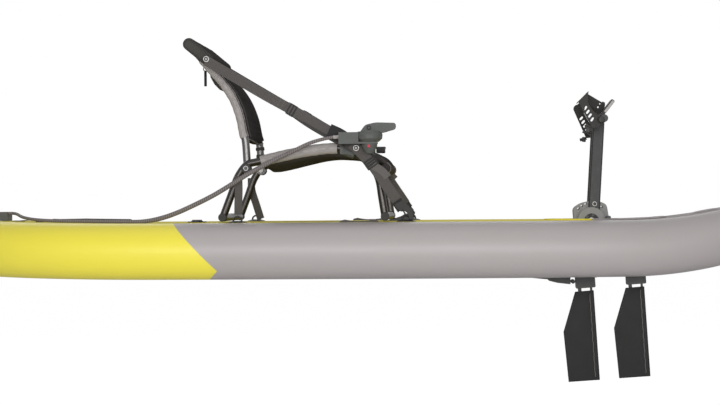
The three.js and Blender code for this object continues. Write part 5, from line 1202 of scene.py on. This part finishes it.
class KAYAK_OT_seat_frame(bpy.types.Operator):
    """Bends the seat's side tubes and back hoop and fits its cross bars and feet"""
    bl_idname = "kayak.seat_frame"
    bl_label = "Seat frame"

    def execute(self, context):
        tube = round_profile(TUBE_RADIUS, 24)
        front_x = SEAT_FOOT + SEAT_SPAN
        for side, sign in SIDES:
            bm = sweep(tube, stations(side_route(sign * SEAT_HALF), side=(0, 1, 0)))
            piece(f"side_tube_{side}", bm, "dark alloy", "kayak", [f"seat_side_tube_{side}"], sharp=60)
            caps = [turned(FOOT_CAP, (x, sign * SEAT_HALF, TUBE_Z), (0, 1, 0)) for x in (SEAT_FOOT, front_x)]
            piece(f"seat_feet_{side}", merge(*caps), "black moulding", "kayak")
        bar_x, bar_z = SEAT_FOOT + 0.966 * SEAT_SPAN, TUBE_Z + 0.676 * SEAT_RISE
        front = bar((bar_x, -SEAT_HALF, bar_z), (bar_x, SEAT_HALF, bar_z))
        piece("seat_tie_bar", front, "dark alloy", "kayak", sharp=60)
        for node, x in (("seat_rear_bar", SEAT_FOOT), ("seat_front_bar", front_x)):
            cross = bar((x, -CROSS_BAR_HALF, TUBE_Z), (x, CROSS_BAR_HALF, TUBE_Z))
            piece(f"{node}_tube", cross, "dark alloy", "kayak", [node], sharp=60)
        hoop = rod(hoop_route(), TUBE_RADIUS, 24)
        eyes = [turned(HOOP_EYE, (PIVOT[0], sign * BACK_HALF, PIVOT[1]), (0, 1, 0)) for sign in (-1, 1)]
        piece("back_hoop", hoop, "alloy", "back", ["back_frame"], sharp=50)
        piece("back_hoop_eyes", merge(*eyes), "dark alloy", "back", sharp=50)
        # Dark webbing ties on the far hoop leg only: partly straps, partly painted shade that darkens that leg
        # while the near leg stays bright.
        bulge = [1.0, 1.04, 1.06, 1.05, 1.03, 1.0]
        for number, (low, high) in enumerate(FAR_LEG_TIES_AND_SHADE):
            wrap = [f @ Matrix.Translation((BACK_HALF, 0, 0)) for f in hoop_frames(low, high, 6)]
            tie = sweep(round_profile(0.0146), wrap, bulge)
            piece(f"far_leg_tie_and_shade_{number + 1}", tie, "dark webbing", "back", sharp=50)
        for side, sign in SIDES:
            knuckle = turned(KNUCKLE, (PIVOT[0], sign * (SEAT_HALF + 0.001), PIVOT[1]), (0, 1, 0))
            piece(f"pivot_knuckle_{side}", knuckle, "black moulding", "kayak")
            head = disc((PIVOT[0], sign * 0.2502, PIVOT[1]), 0.0062, 0.0034, (0, sign, 0), 0.0012)
            piece(f"pivot_bolt_head_{side}", head, "moulding", "kayak")
        return {"FINISHED"}


# Padded pieces

VOXEL, PRESSURE, SWELL_CAP, CLOTH_FRAMES = 0.005, 4.0, 0.004, 20


def inflate(made):
    """Swells a closed form like stuffed cloth: an even mesh, cloth under pressure and a cap on its travel."""
    scene = bpy.context.scene
    remesher = made.modifiers.new("Even mesh", "REMESH")
    remesher.mode = "VOXEL"
    remesher.voxel_size = VOXEL
    even = bpy.data.meshes.new_from_object(made.evaluated_get(bpy.context.evaluated_depsgraph_get()))
    made.modifiers.clear()
    old, made.data = made.data, even
    name = old.name
    bpy.data.meshes.remove(old)
    even.name = name
    start = [v.co.copy() for v in even.vertices]
    cloth = made.modifiers.new("Cloth", "CLOTH")
    cloth.settings.quality = 4
    cloth.settings.use_pressure = True
    cloth.settings.uniform_pressure_force = PRESSURE
    cloth.settings.effector_weights.gravity = 0.0
    cloth.point_cache.frame_start, cloth.point_cache.frame_end = 1, CLOTH_FRAMES
    for number in range(1, CLOTH_FRAMES + 1):
        scene.frame_set(number)
    swollen = made.evaluated_get(bpy.context.evaluated_depsgraph_get()).data
    moved = [v.co.copy() for v in swollen.vertices]
    made.modifiers.clear()
    for vert, before, after in zip(even.vertices, start, moved):
        shift = after - before
        vert.co = before + shift * min(1.0, SWELL_CAP / max(shift.length, 1e-9))
    scene.frame_set(1)
    even.update()


def stuffed(made):
    inflate(made)
    made.data.shade_smooth()
    smoother = made.modifiers.new("Smooth", "SUBSURF")
    smoother.levels = smoother.render_levels = 1


def hoop_frames(low, high, count):
    """Frames up the back: x across the seat, y forwards out of the cushion and z up the hoop."""
    line = smooth_route([hoop_point(share, 0) for share in HOOP_SHARES], 0.004)
    route = [point_along(line, low + (high - low) * i / (count - 1)) for i in range(count)]
    return [axes_at(point, Vector((0, 1, 0)), Vector((along.z, 0, -along.x)), along)
            for point, along in zip(route, directions(route))]


def cushion_profile(half, rear, front, crown, channels, groove):
    """Section of a padded panel: a drawn-in side wall and a crowned, sewn front."""
    front_side, rear_side = [], []
    for i in range(65):
        y = half * math.sin((i / 64 - 0.5) * math.pi)
        share = y / half
        inside = 1 - share ** 2
        wall = min(1.0, (1 - abs(share)) * 9) ** 0.5
        seam = abs(math.cos(channels * math.pi * share / 2)) ** 10
        front_side.append((y, front * wall + crown * inside - groove * seam * min(1.0, inside * 3)))
        rear_side.append((y, -rear * wall + crown * 0.6 * inside))
    return [*rear_side, *reversed(front_side[1:-1])]


CUSHION_LINE = [
    (0.231, 0.845), (0.35, 0.885), (0.498, 0.945), (0.6, 0.975), (0.69, 0.975), (0.76, 0.95), (0.84, 0.915),
    (0.925, 0.865), (0.985, 0.8), (1.02, 0.72),
]


def frames_along(route):
    """Frames along a side-view route: x across the seat, y up out of it and z along."""
    return [axes_at(point, Vector((0, 1, 0)), Vector((-along.z, 0, along.x)), along)
            for point, along in zip(route, directions(route))]


SEAT_PAD_HALF, BACK_PAD_HALF = 0.2075, 0.2055
SLEEVE_REAR, SLEEVE_FRONT, SLEEVE_LOW = -0.366, -0.114, 0.33
BACK_PIPING = {"right": (0.0185, "dark webbing"), "left": (0.0165, "pale piping")}
NOSE, NOSE_HALF, NOSE_END_Y = (0.0375, 0, 0.3535), 0.199, 0.195
NOSE_PIPING_Y, NOSE_PIPING_RADIUS = 0.1965, 0.0182
NOSE_ROLL = [
    (0, -NOSE_HALF), (0.012, -NOSE_HALF), (0.0155, -0.196), (0.0165, -0.19), (0.0162, -0.1), (0.0168, 0),
    (0.0162, 0.1), (0.0165, 0.19), (0.0155, 0.196), (0.012, NOSE_HALF), (0, NOSE_HALF),
]
SLEEVE_WEB = [
    (-0.002, 0.0155), (-0.016, 0.0135), (-0.034, 0.008), (-0.034, 0.002), (-0.016, 0.0085), (-0.002, 0.0115),
]


class KAYAK_OT_seat_cushion(bpy.types.Operator):
    """Stuffs the seat cushion, hangs it between its sleeves and pipes its nose"""
    bl_idname = "kayak.seat_cushion"
    bl_label = "Seat cushion"

    def execute(self, context):
        count = 34
        line = smooth_route([seat_point(share, 0) for share in CUSHION_LINE], 0.004)
        route = [point_along(line, (i + 0.001) / (count - 1)) for i in range(count - 1)] + [line[-1]]
        rings = []
        for i, place in enumerate(frames_along(route)):
            t = i / (count - 1)
            end = min(1.0, 0.35 + 8 * t, 0.35 + 8 * (1 - t)) ** 0.6
            sag = 0.026 * max(0.0, 1 - (t / 0.75) ** 1.6)
            half = SEAT_PAD_HALF - (1 - end) * 0.014
            profile = cushion_profile(half, 0.0145 * end, 0.0135 * end, 0.0, 7, 0.004)
            rings.append([place @ Vector((x, y - sag * (1 - (x / half) ** 2), 0)) for x, y in profile])
        stuffed(piece("seat_cushion_pad", loft(rings), "seat cloth", "kayak", ["seat_cushion"]))
        for side, sign in SIDES:
            self.sleeve(side, sign)
        self.nose()
        return {"FINISHED"}

    def sleeve(self, side, sign):
        """The sleeve round a side tube, its web to the cushion and its piping."""
        tube = side_route(sign * SEAT_HALF, 0.006)
        whole = [p for p in tube if SLEEVE_REAR < p.x < SLEEVE_FRONT and p.z > SLEEVE_LOW]
        places = frames_along(whole)
        shape = oval_profile(0.0172, 0.0178, -sign * 0.001, -0.001)
        puffs = [1 + 0.02 * math.sin(i * 1.3) + 0.015 * math.sin(i * 0.41 + 2) for i in range(len(places))]
        piece(f"seat_sleeve_{side}", sweep(shape, places, puffs), "sleeve cloth", "kayak", sharp=60)
        web = loft([[f @ Vector((sign * x, y, 0)) for x, y in SLEEVE_WEB] for f in places])
        piece(f"sleeve_web_{side}", web, "sleeve cloth", "kayak", sharp=50)
        edge = [p + Vector((0, -sign * 0.0275, 0.0125)) for p in whole]
        piece(f"seat_piping_{side}", rod(edge, 0.0022), "pale piping", "kayak", sharp=60)

    def nose(self):
        """The roll along the seat's front edge, with darker ends and piping round them."""
        centre = Vector(NOSE)
        roll = turned(NOSE_ROLL, centre, (0, 1, 0))
        for face in roll.faces:
            face.material_index = int(abs(face.calc_center_median().y) > NOSE_END_Y)
        piece("nose_roll", roll, ["nose cloth", "seat cloth"], "kayak", sharp=50)
        for side, sign in SIDES:
            y = sign * NOSE_PIPING_Y
            angles = [math.radians(80 - 20 * i) for i in range(13)]
            around = [centre + Vector((NOSE_PIPING_RADIUS * math.cos(a), y, NOSE_PIPING_RADIUS * math.sin(a)))
                      for a in angles]
            edge = [Vector((x, y, z)) for x, z in ((-0.03, 0.4085), (-0.005, 0.4015), (0.02, 0.388))]
            bead = rod(smooth_route([*edge, *around], 0.004), 0.0024)
            piece(f"nose_piping_{side}", bead, "pale piping", "kayak", sharp=60)


class KAYAK_OT_back_cushion(bpy.types.Operator):
    """Stuffs the back cushion and sews its hem, sleeves, piping and seams"""
    bl_idname = "kayak.back_cushion"
    bl_label = "Back cushion"

    def execute(self, context):
        count = 26
        frames = hoop_frames(0.19, 0.885, count)
        rings = []
        for i, place in enumerate(frames):
            t = i / (count - 1)
            end = min(1.0, 0.6 + 9 * t, 0.35 + 9 * (1 - t)) ** 0.6
            front = (0.0165 - 0.004 * t) * end
            profile = cushion_profile(BACK_PAD_HALF - (1 - end) * 0.006, 0.009 * end, front, 0.001, 6, 0.0022)
            droop = 0.014 * max(0.0, 1 - 6 * t)
            rings.append([place @ Vector((x, y, -droop * (1 - (x / BACK_PAD_HALF) ** 2)))
                          for x, y in profile])
        stuffed(piece("back_cushion_pad", loft(rings), "seat cloth", "back", ["back_cushion"]))
        line = hoop_frames(0.208, 0.86, 40)
        hem = [frames[0] @ Vector((0.194 * s, 0.0195 - 0.008 * s ** 4, -0.001 - 0.0145 * (1 - s * s)))
               for s in [-1 + 2 * i / 40 for i in range(41)]]
        piece("back_hem", rod(hem, 0.0024), "pale piping", "back", sharp=60)
        for side, sign in SIDES:
            places = [f @ Matrix.Translation((sign * BACK_HALF, 0, 0)) for f in line]
            puffs = [1 + 0.03 * math.sin(i * 1.7) + 0.02 * math.sin(i * 0.63 + 1) for i in range(len(places))]
            rolled = sweep(oval_profile(0.0145, 0.0142, 0.0, -0.0002), places, puffs)
            piece(f"back_sleeve_{side}", rolled, "sleeve cloth", "back", sharp=60)
            depth, cover = BACK_PIPING[side]
            edge = [f @ Vector((sign * 0.199, depth - 0.003 * i / 39, 0))
                    for i, f in enumerate(hoop_frames(0.2, 0.87, 40))]
            piece(f"back_piping_{side}", rod(edge, 0.0026), cover, "back", sharp=60)
            seam = [f @ Vector((sign * 0.2175, 0.0112, 0)) for f in line]
            piece(f"back_seam_{side}", rod(seam, 0.0011, 8), "dark webbing", "back", sharp=60)
        return {"FINISHED"}


ROLL_LOW_SHARE, ROLL_BOLT_Y = (0.3105, 0.8753), 0.2665
ROLL_END = [
    (0.0115, -0.2445), (0.0128, -0.246), (0.0138, -0.2455), (0.0148, -0.244), (0.0168, -0.2445),
    (0.0190, -0.2415), (0.0200, -0.2360), (0.0200, -0.2250), (0.0196, -0.2230), (0.0200, -0.2210),
]


class KAYAK_OT_top_roll(bpy.types.Operator):
    """Makes the dark roll over the top of the back, with piped ends and its bolts"""
    bl_idname = "kayak.top_roll"
    bl_label = "Top roll"

    def execute(self, context):
        top = hoop_point(HOOP_SHARES[-1], 0)
        low = hoop_point(ROLL_LOW_SHARE, 0)
        along = top - low
        lean = math.atan2(along.z, along.x)

        def outline(radius, y):
            return [Vector((c.x + radius * math.cos(a), y, c.z + radius * math.sin(a)))
                    for c, start in ((top, lean - math.pi / 2), (low, lean + math.pi / 2))
                    for a in [start + math.pi * i / 16 for i in range(17)]]

        rings = [outline(radius, y) for radius, y in ROLL_END]
        inner = [outline(0.0197 + 0.0003 * math.cos(i * 1.9), -0.19 + 0.38 * i / 8) for i in range(9)]
        far = [[Vector((p.x, -p.y, p.z)) for p in ring] for ring in reversed(rings)]
        roll = loft([*rings, *inner, *far])
        cover = piece("top_roll_cover", roll, "roll cover", "back", ["back_top_roll"], sharp=60)
        for side, sign in SIDES:
            route = outline(0.0144, sign * 0.2458)
            bead = rod([*route, route[0]], 0.0012, 8, caps=False)
            piece(f"roll_piping_{side}", bead, "dark webbing", "back", sharp=60)
            place = low + Vector((0.0025, sign * ROLL_BOLT_Y, -0.0035))
            ring_bolt(f"roll_bolt_{side}", place, "back", (0, sign, 0), 0.0098)
        return {"FINISHED"}


# Straps

STRAP_TOP, STRAP_BOLT = (-0.539, 0, 0.714), (-0.052, 0, 0.418)
BACK_BENDS = ("kayak", "back", STRAP_BOLT, STRAP_TOP)
STRAP_Y, BUCKLE_Y, REAR_STRAP_Y = 0.2655, 0.2705, 0.2493
SIDE_BANDS = [  # name, (share, lift) places, distance out, width, thickness and finish
    ("long", [(0.01, -0.006), (0.2, -0.0055), (0.4, -0.0045), (0.57, -0.001)], 0, 0.0325, 0.0016, "webbing"),
    ("fold", [(0.54, 0.0), (0.62, 0.0), (0.665, 0.0)], 0.0019, 0.0335, 0.0014, "webbing"),
    ("low", [(0.56, -0.001), (0.7, -0.0065), (0.85, -0.0055), (1.02, 0)], -0.0002, 0.034, 0.0018,
     "dark webbing"),
    ("tail", [(0.6, 0.001), (0.75, 0.002), (0.86, 0.0055)], 0.0019, 0.0305, 0.0015, "webbing"),
    ("tab", [(0.815, 0.004), (0.88, 0.008), (0.94, 0.006)], 0.0021, 0.044, 0.0026, "tab"),
]
FRONT_KNEE = (-0.0043, 0.369)
FRONT_BANDS = [  # name, (x, z) places, distance out, width, thickness and finish
    ("upper", [(-0.066, 0.432), (-0.036, 0.402), FRONT_KNEE], 0.0035, 0.035, 0.002, "webbing"),
    ("lower", [(-0.008, 0.376), (0.026, 0.326), (0.056, 0.281), (0.086, 0.236)], 0.0033, 0.0355, 0.0016,
     "webbing"),
    ("tail", [(0.0, 0.361), (0.026, 0.347), (0.05, 0.323)], 0.0049, 0.026, 0.0018, "pale webbing"),
    ("end", [(0.0765, 0.2475), (0.086, 0.2335), (0.0955, 0.2195)], 0.0052, 0.035, 0.0028, "tab"),
]
BUCKLE_SHARES = (0.48, 0.49, 0.515, 0.56, 0.575, 0.59)


def band(points, y, width, thickness):
    """Webbing that lies flat against a plane of one y and runs through (x, z) places."""
    route = smooth_route([Vector((x, y, z)) for x, z in points])
    return sweep(band_profile(width, thickness), face_frames(route))


def face_frames(route):
    """Frames along a side-view route: x across the band, y out to port and z along."""
    found = []
    for point, along in zip(route, directions(route)):
        across = Vector((0, 1, 0)).cross(along).normalized()
        found.append(axes_at(point, across, along.cross(across), along))
    return found


def on_strap(share, lift=0.0):
    """A place on the side strap's middle line, a share of the way from the roll to the rail, as (x, z)."""
    top, bolt = Vector(STRAP_TOP), Vector(STRAP_BOLT)
    along = (bolt - top).normalized()
    point = top.lerp(bolt, share) + Vector((-along.z, 0, along.x)) * lift
    return point.x, point.z


def stitches(frame_at, width):
    """A row of nine thread stitches across a band at a frame."""
    turn = frame_at.to_3x3().to_4x4()
    places = [frame_at @ Vector(((i - 4) * width / 9, 0, 0)) for i in range(9)]
    return merge(*[rounded_block((0.0026, 0.0009, 0.0011), place, 0.0003, turn, 1) for place in places])


def ladder(frame_at, width, length, bars, thickness=0.0044):
    """A ladder-lock buckle: two rails and their cross bars."""
    turn = frame_at.to_3x3().to_4x4()
    rail, step = (0.004, thickness, length), (width + 0.004, thickness * 1.1, 0.0045)
    rails = [rounded_block(rail, frame_at @ Vector((side * (width / 2 + 0.001), 0, 0)), 0.0013, turn)
             for side in (-1, 1)]
    steps = [rounded_block(step, frame_at @ Vector((0, 0, z)), 0.0014, turn)
             for z in [(-0.5 + i / (bars - 1)) * (length - 0.0045) for i in range(bars)]]
    return merge(*rails, *steps)


HOOK_SIDE = [
    (70, 235.6), (96.2, 249.3), (113.1, 235.3), (128.4, 216.9), (131.2, 204.3), (131.1, 187.6),
    (118.9, 186.1), (111.3, 207.7), (103.6, 213.9), (91.4, 212.3), (76, 221.8),
]
HOOK_BASE = [
    (52.6, 189.5), (66.4, 188.1), (85.2, 194.1), (97.4, 201.7), (109.7, 204.5), (125, 192.2), (131, 182.8),
    (54.2, 183.3),
]
HOOK_WIRE = [
    (0.0925, 0.2735, 0.2235), (0.0985, 0.2755, 0.2155), (0.1025, 0.2765, 0.2085), (0.1055, 0.2765, 0.2025),
    (0.1115, 0.2755, 0.1995), (0.1165, 0.2735, 0.2035), (0.116, 0.2715, 0.2095),
]
HOOK_SHIFT = {"right": 0, "left": -0.014}
REAR_STRAPS = {"right": (-0.437, -0.438, 0.206), "left": (-0.452, -0.42, 0.188)}  # top x, foot x and foot z


class KAYAK_OT_straps(bpy.types.Operator):
    """Runs the seat's webbing: side, front and rear straps with buckles, ends, hooks and stitches"""
    bl_idname = "kayak.straps"
    bl_label = "Straps and buckles"

    def execute(self, context):
        side_bands = [(name, [on_strap(*place) for place in places], *rest)
                      for name, places, *rest in SIDE_BANDS]
        middle = [on_strap(share, -0.0025) for share in BUCKLE_SHARES]
        for side, sign in SIDES:
            self.lay("side_strap", side_bands, side, sign, BACK_BENDS)
            places = face_frames([Vector((x, sign * STRAP_Y, z)) for x, z in middle])
            rows = [stitches(Matrix.Translation((0, sign * 0.0012, 0)) @ places[k], 0.029) for k in (1, 2)]
            piece(f"strap_stitches_{side}", merge(*rows), "thread", BACK_BENDS)
            lock = ladder(Matrix.Translation((0, sign * 0.0018, 0.001)) @ places[4], 0.0325, 0.026, 3)
            piece(f"strap_buckle_{side}", lock, "black moulding", BACK_BENDS, sharp=40)
            self.lay("front_strap", FRONT_BANDS, side, sign, "kayak")
            self.front_hook(side, sign)
            top, foot, height = REAR_STRAPS[side]
            line = [(top, 0.331), (top + 0.001, 0.29), ((top + foot) / 2, 0.24), (foot, height)]
            rear = band(line, sign * REAR_STRAP_Y, 0.026, 0.0018)
            piece(f"rear_strap_band_{side}", rear, "webbing", "kayak", [f"rear_strap_{side}"], sharp=40)
        return {"FINISHED"}

    def lay(self, strap, bands, side, sign, body):
        """Lays the bands of one strap. The first takes the place of the strap's solid."""
        replaced = [f"{strap}_{side}"]
        for name, places, out, width, thickness, finish in bands:
            made = band(places, sign * (STRAP_Y + out), width, thickness)
            piece(f"{strap}_{name}_{side}", made, finish, body, replaced, sharp=40)
            replaced = ()

    def front_hook(self, side, sign):
        """The front strap's ladder lock, its wire hook and the two plates of the hook."""
        knee = [Vector((x, sign * BUCKLE_Y, z)) for x, z in ((-0.016, 0.386), FRONT_KNEE, (0.012, 0.346))]
        lock = ladder(face_frames(knee)[1], 0.036, 0.03, 4, 0.005)
        piece(f"front_buckle_{side}", lock, "black moulding", "kayak", sharp=40)
        wire = smooth_route([Vector((x, sign * y, z)) for x, y, z in HOOK_WIRE], 0.003)
        piece(f"front_hook_{side}", rod(wire, 0.0026, 12), "black moulding", "kayak", sharp=60)
        shift = HOOK_SHIFT[side]
        hook, base = ([(x * MM + shift, z * MM) for x, z in outline] for outline in (HOOK_SIDE, HOOK_BASE))
        plates = merge(plate(hook, [], sign * 0.2738, sign * 0.2768),
                       plate(base, [], sign * 0.2668, sign * 0.2708))
        piece(f"front_hook_plates_{side}", plates, "black moulding", "kayak", (), 0.0006)


# Steering conduit

CONDUIT_ROUTE = [
    (-106.4, -290, 454), (-132, -290, 452), (-194, -288, 437), (-252, -284, 411), (-311, -280, 384),
    (-397, -278, 340), (-456, -277, 304), (-514, -274, 270), (-580, -266, 238), (-638, -260, 213),
    (-690, -258, 196), (-745, -258, 186.6), (-821, -260, 186.6), (-941, -262, 188.6), (-1044, -258, 190.6),
    (-1110, -236, 195), (-1155, -186, 201), (-1182, -130, 206), (-1205, -70, 211), (-1222, -38, 214),
    (-1235, -31, 215), (-1246.4, -31, 215),
]
COVER_SHARES = [
    (-1.3, 1.0), (-1.0, 1.1), (-0.78, 1.25), (-0.69, 1.55), (-0.35, 1.5), (-0.25, 1.3), (-0.17, 1.15),
    (-0.1, 1.0),
]


def cover_share(x):
    """How much wider than its cable the conduit's cover is, at a place along the hull."""
    for (rear, one), (front, other) in zip(COVER_SHARES, COVER_SHARES[1:]):
        if x <= front:
            return one + (other - one) * max(0.0, (x - rear) / (front - rear))
    return COVER_SHARES[-1][1]


class KAYAK_OT_conduit(bpy.types.Operator):
    """Lays the covered steering cable from the lever's bracket to the stern"""
    bl_idname = "kayak.conduit"
    bl_label = "Steering conduit"

    def execute(self, context):
        route = smooth_route([mm(*p) for p in CONDUIT_ROUTE], 0.008)
        bm = rod(route, 0.005, 14, [cover_share(p.x) for p in route])
        made = piece("steering_conduit_cover", bm, "cable cover", "kayak", ["steering_conduit"], sharp=60)
        length = sum((b - a).length for a, b in zip(route, route[1:]))
        tuple(route[0])
        return {"FINISHED"}


def laid_cord(name, points, radius, finish, body, replaced=()):
    """A thin cord along a smooth route from one end to the other."""
    route = smooth_route(points, 0.008)
    made = piece(name, rod(route, radius), finish, body, replaced, sharp=60)
    length = sum((b - a).length for a, b in zip(route, route[1:]))
    tuple(route[0])


PAD_EYES = [(-0.88, 0.23), (-1.12, 0.115), (-1.12, -0.115), (-0.88, -0.23)]
PAD_EYE = [
    (0, 0), (0.0135, 0), (0.014, 0.0008), (0.0128, 0.0028), (0.0088, 0.0042), (0.0076, 0.0078),
    (0.006, 0.009), (0, 0.009),
]
LINE_SIDE = [
    (-1.402, 0.055), (-1.37, 0.0458), (-1.33, 0.0342), (-1.309, 0.028), (-1.3025, 0.0235), (-1.3002, 0.016),
]
LINE_Z = 0.21455


class KAYAK_OT_lines(bpy.types.Operator):
    """Laces the cargo cords between their pad-eyes and leads the thin steering lines to the rudder"""
    bl_idname = "kayak.lines"
    bl_label = "Cargo cords and steering lines"

    def execute(self, context):
        pads = [turned(PAD_EYE, (x, y, PAD_EYE_Z + rocker_at(x))) for x, y in PAD_EYES]
        piece("cargo_pad_eyes", merge(*pads), "black moulding", "kayak", ["rear_bungee"])
        for number, (a, b, hump) in enumerate([(0, 1, 0.0), (0, 2, 0.0055), (3, 1, 0.0), (3, 2, 0.0)]):
            start, end = Vector((*PAD_EYES[a], 0)), Vector((*PAD_EYES[b], 0))
            points = []
            for share in (0.0, 0.2, 0.4, 0.5, 0.6, 0.8, 1.0):
                place = start.lerp(end, share)
                near_end = abs(share - 0.5) * 2
                rest = 0.0039 + 0.0027 * near_end ** 4 + hump * (1 - near_end) ** 0.5
                points.append(Vector((place.x, place.y, ON_DECK + rocker_at(place.x) + rest)))
            laid_cord(f"cargo_cord_{number + 1}", points, 0.003, "cord", "kayak")
        route = [Vector((x, -y, LINE_Z)) for x, y in LINE_SIDE]
        route += [Vector((x, y, LINE_Z)) for x, y in reversed(LINE_SIDE)]
        laid_cord("steering_line", route, 0.00225, "cord",
                  ("kayak", "rudder_head", (-1.31, 0, LINE_Z), (-1.402, 0, LINE_Z)), ["steering_lines"])
        return {"FINISHED"}


class KAYAK_PT_panel(bpy.types.Panel):
    """Lists the pieces of the kayak"""
    bl_idname = "KAYAK_PT_panel"
    bl_label = "Kayak"
    bl_space_type = "VIEW_3D"
    bl_region_type = "UI"
    bl_category = "Kayak"

    def draw(self, context):
        for operator in OPERATORS:
            self.layout.operator(operator.bl_idname)
        for settings in (context.scene.kayak_hull, context.scene.kayak_soft, context.scene.kayak_hard):
            box = self.layout.box()
            for name in settings.__annotations__:
                box.prop(settings, name)


OPERATORS = [
    KAYAK_OT_stage, KAYAK_OT_conduit, KAYAK_OT_lines, KAYAK_OT_hull, KAYAK_OT_hardware, KAYAK_OT_seat_frame,
    KAYAK_OT_seat_cushion, KAYAK_OT_back_cushion, KAYAK_OT_top_roll, KAYAK_OT_straps, KAYAK_OT_foot_straps,
    KAYAK_OT_fittings,
]
CLASSES = [HullSettings, SoftSettings, HardSettings, *OPERATORS, KAYAK_PT_panel]


def register():
    for each in CLASSES:
        bpy.utils.register_class(each)
    bpy.types.Scene.kayak_hull = bpy.props.PointerProperty(type=HullSettings)
    bpy.types.Scene.kayak_soft = bpy.props.PointerProperty(type=SoftSettings)
    bpy.types.Scene.kayak_hard = bpy.props.PointerProperty(type=HardSettings)


def unregister():
    del bpy.types.Scene.kayak_hard
    del bpy.types.Scene.kayak_soft
    del bpy.types.Scene.kayak_hull
    for each in reversed(CLASSES):
        bpy.utils.unregister_class(each)


def main():
    register()
    for operator in OPERATORS:
        group, name = operator.bl_idname.split(".")
        getattr(getattr(bpy.ops, group), name)()
    corners = [[list(corner) for corner in box] for box in (solid_box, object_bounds())]
    {"solids": corners[0], "visual": corners[1]}


if __name__ == "__main__":
    main()
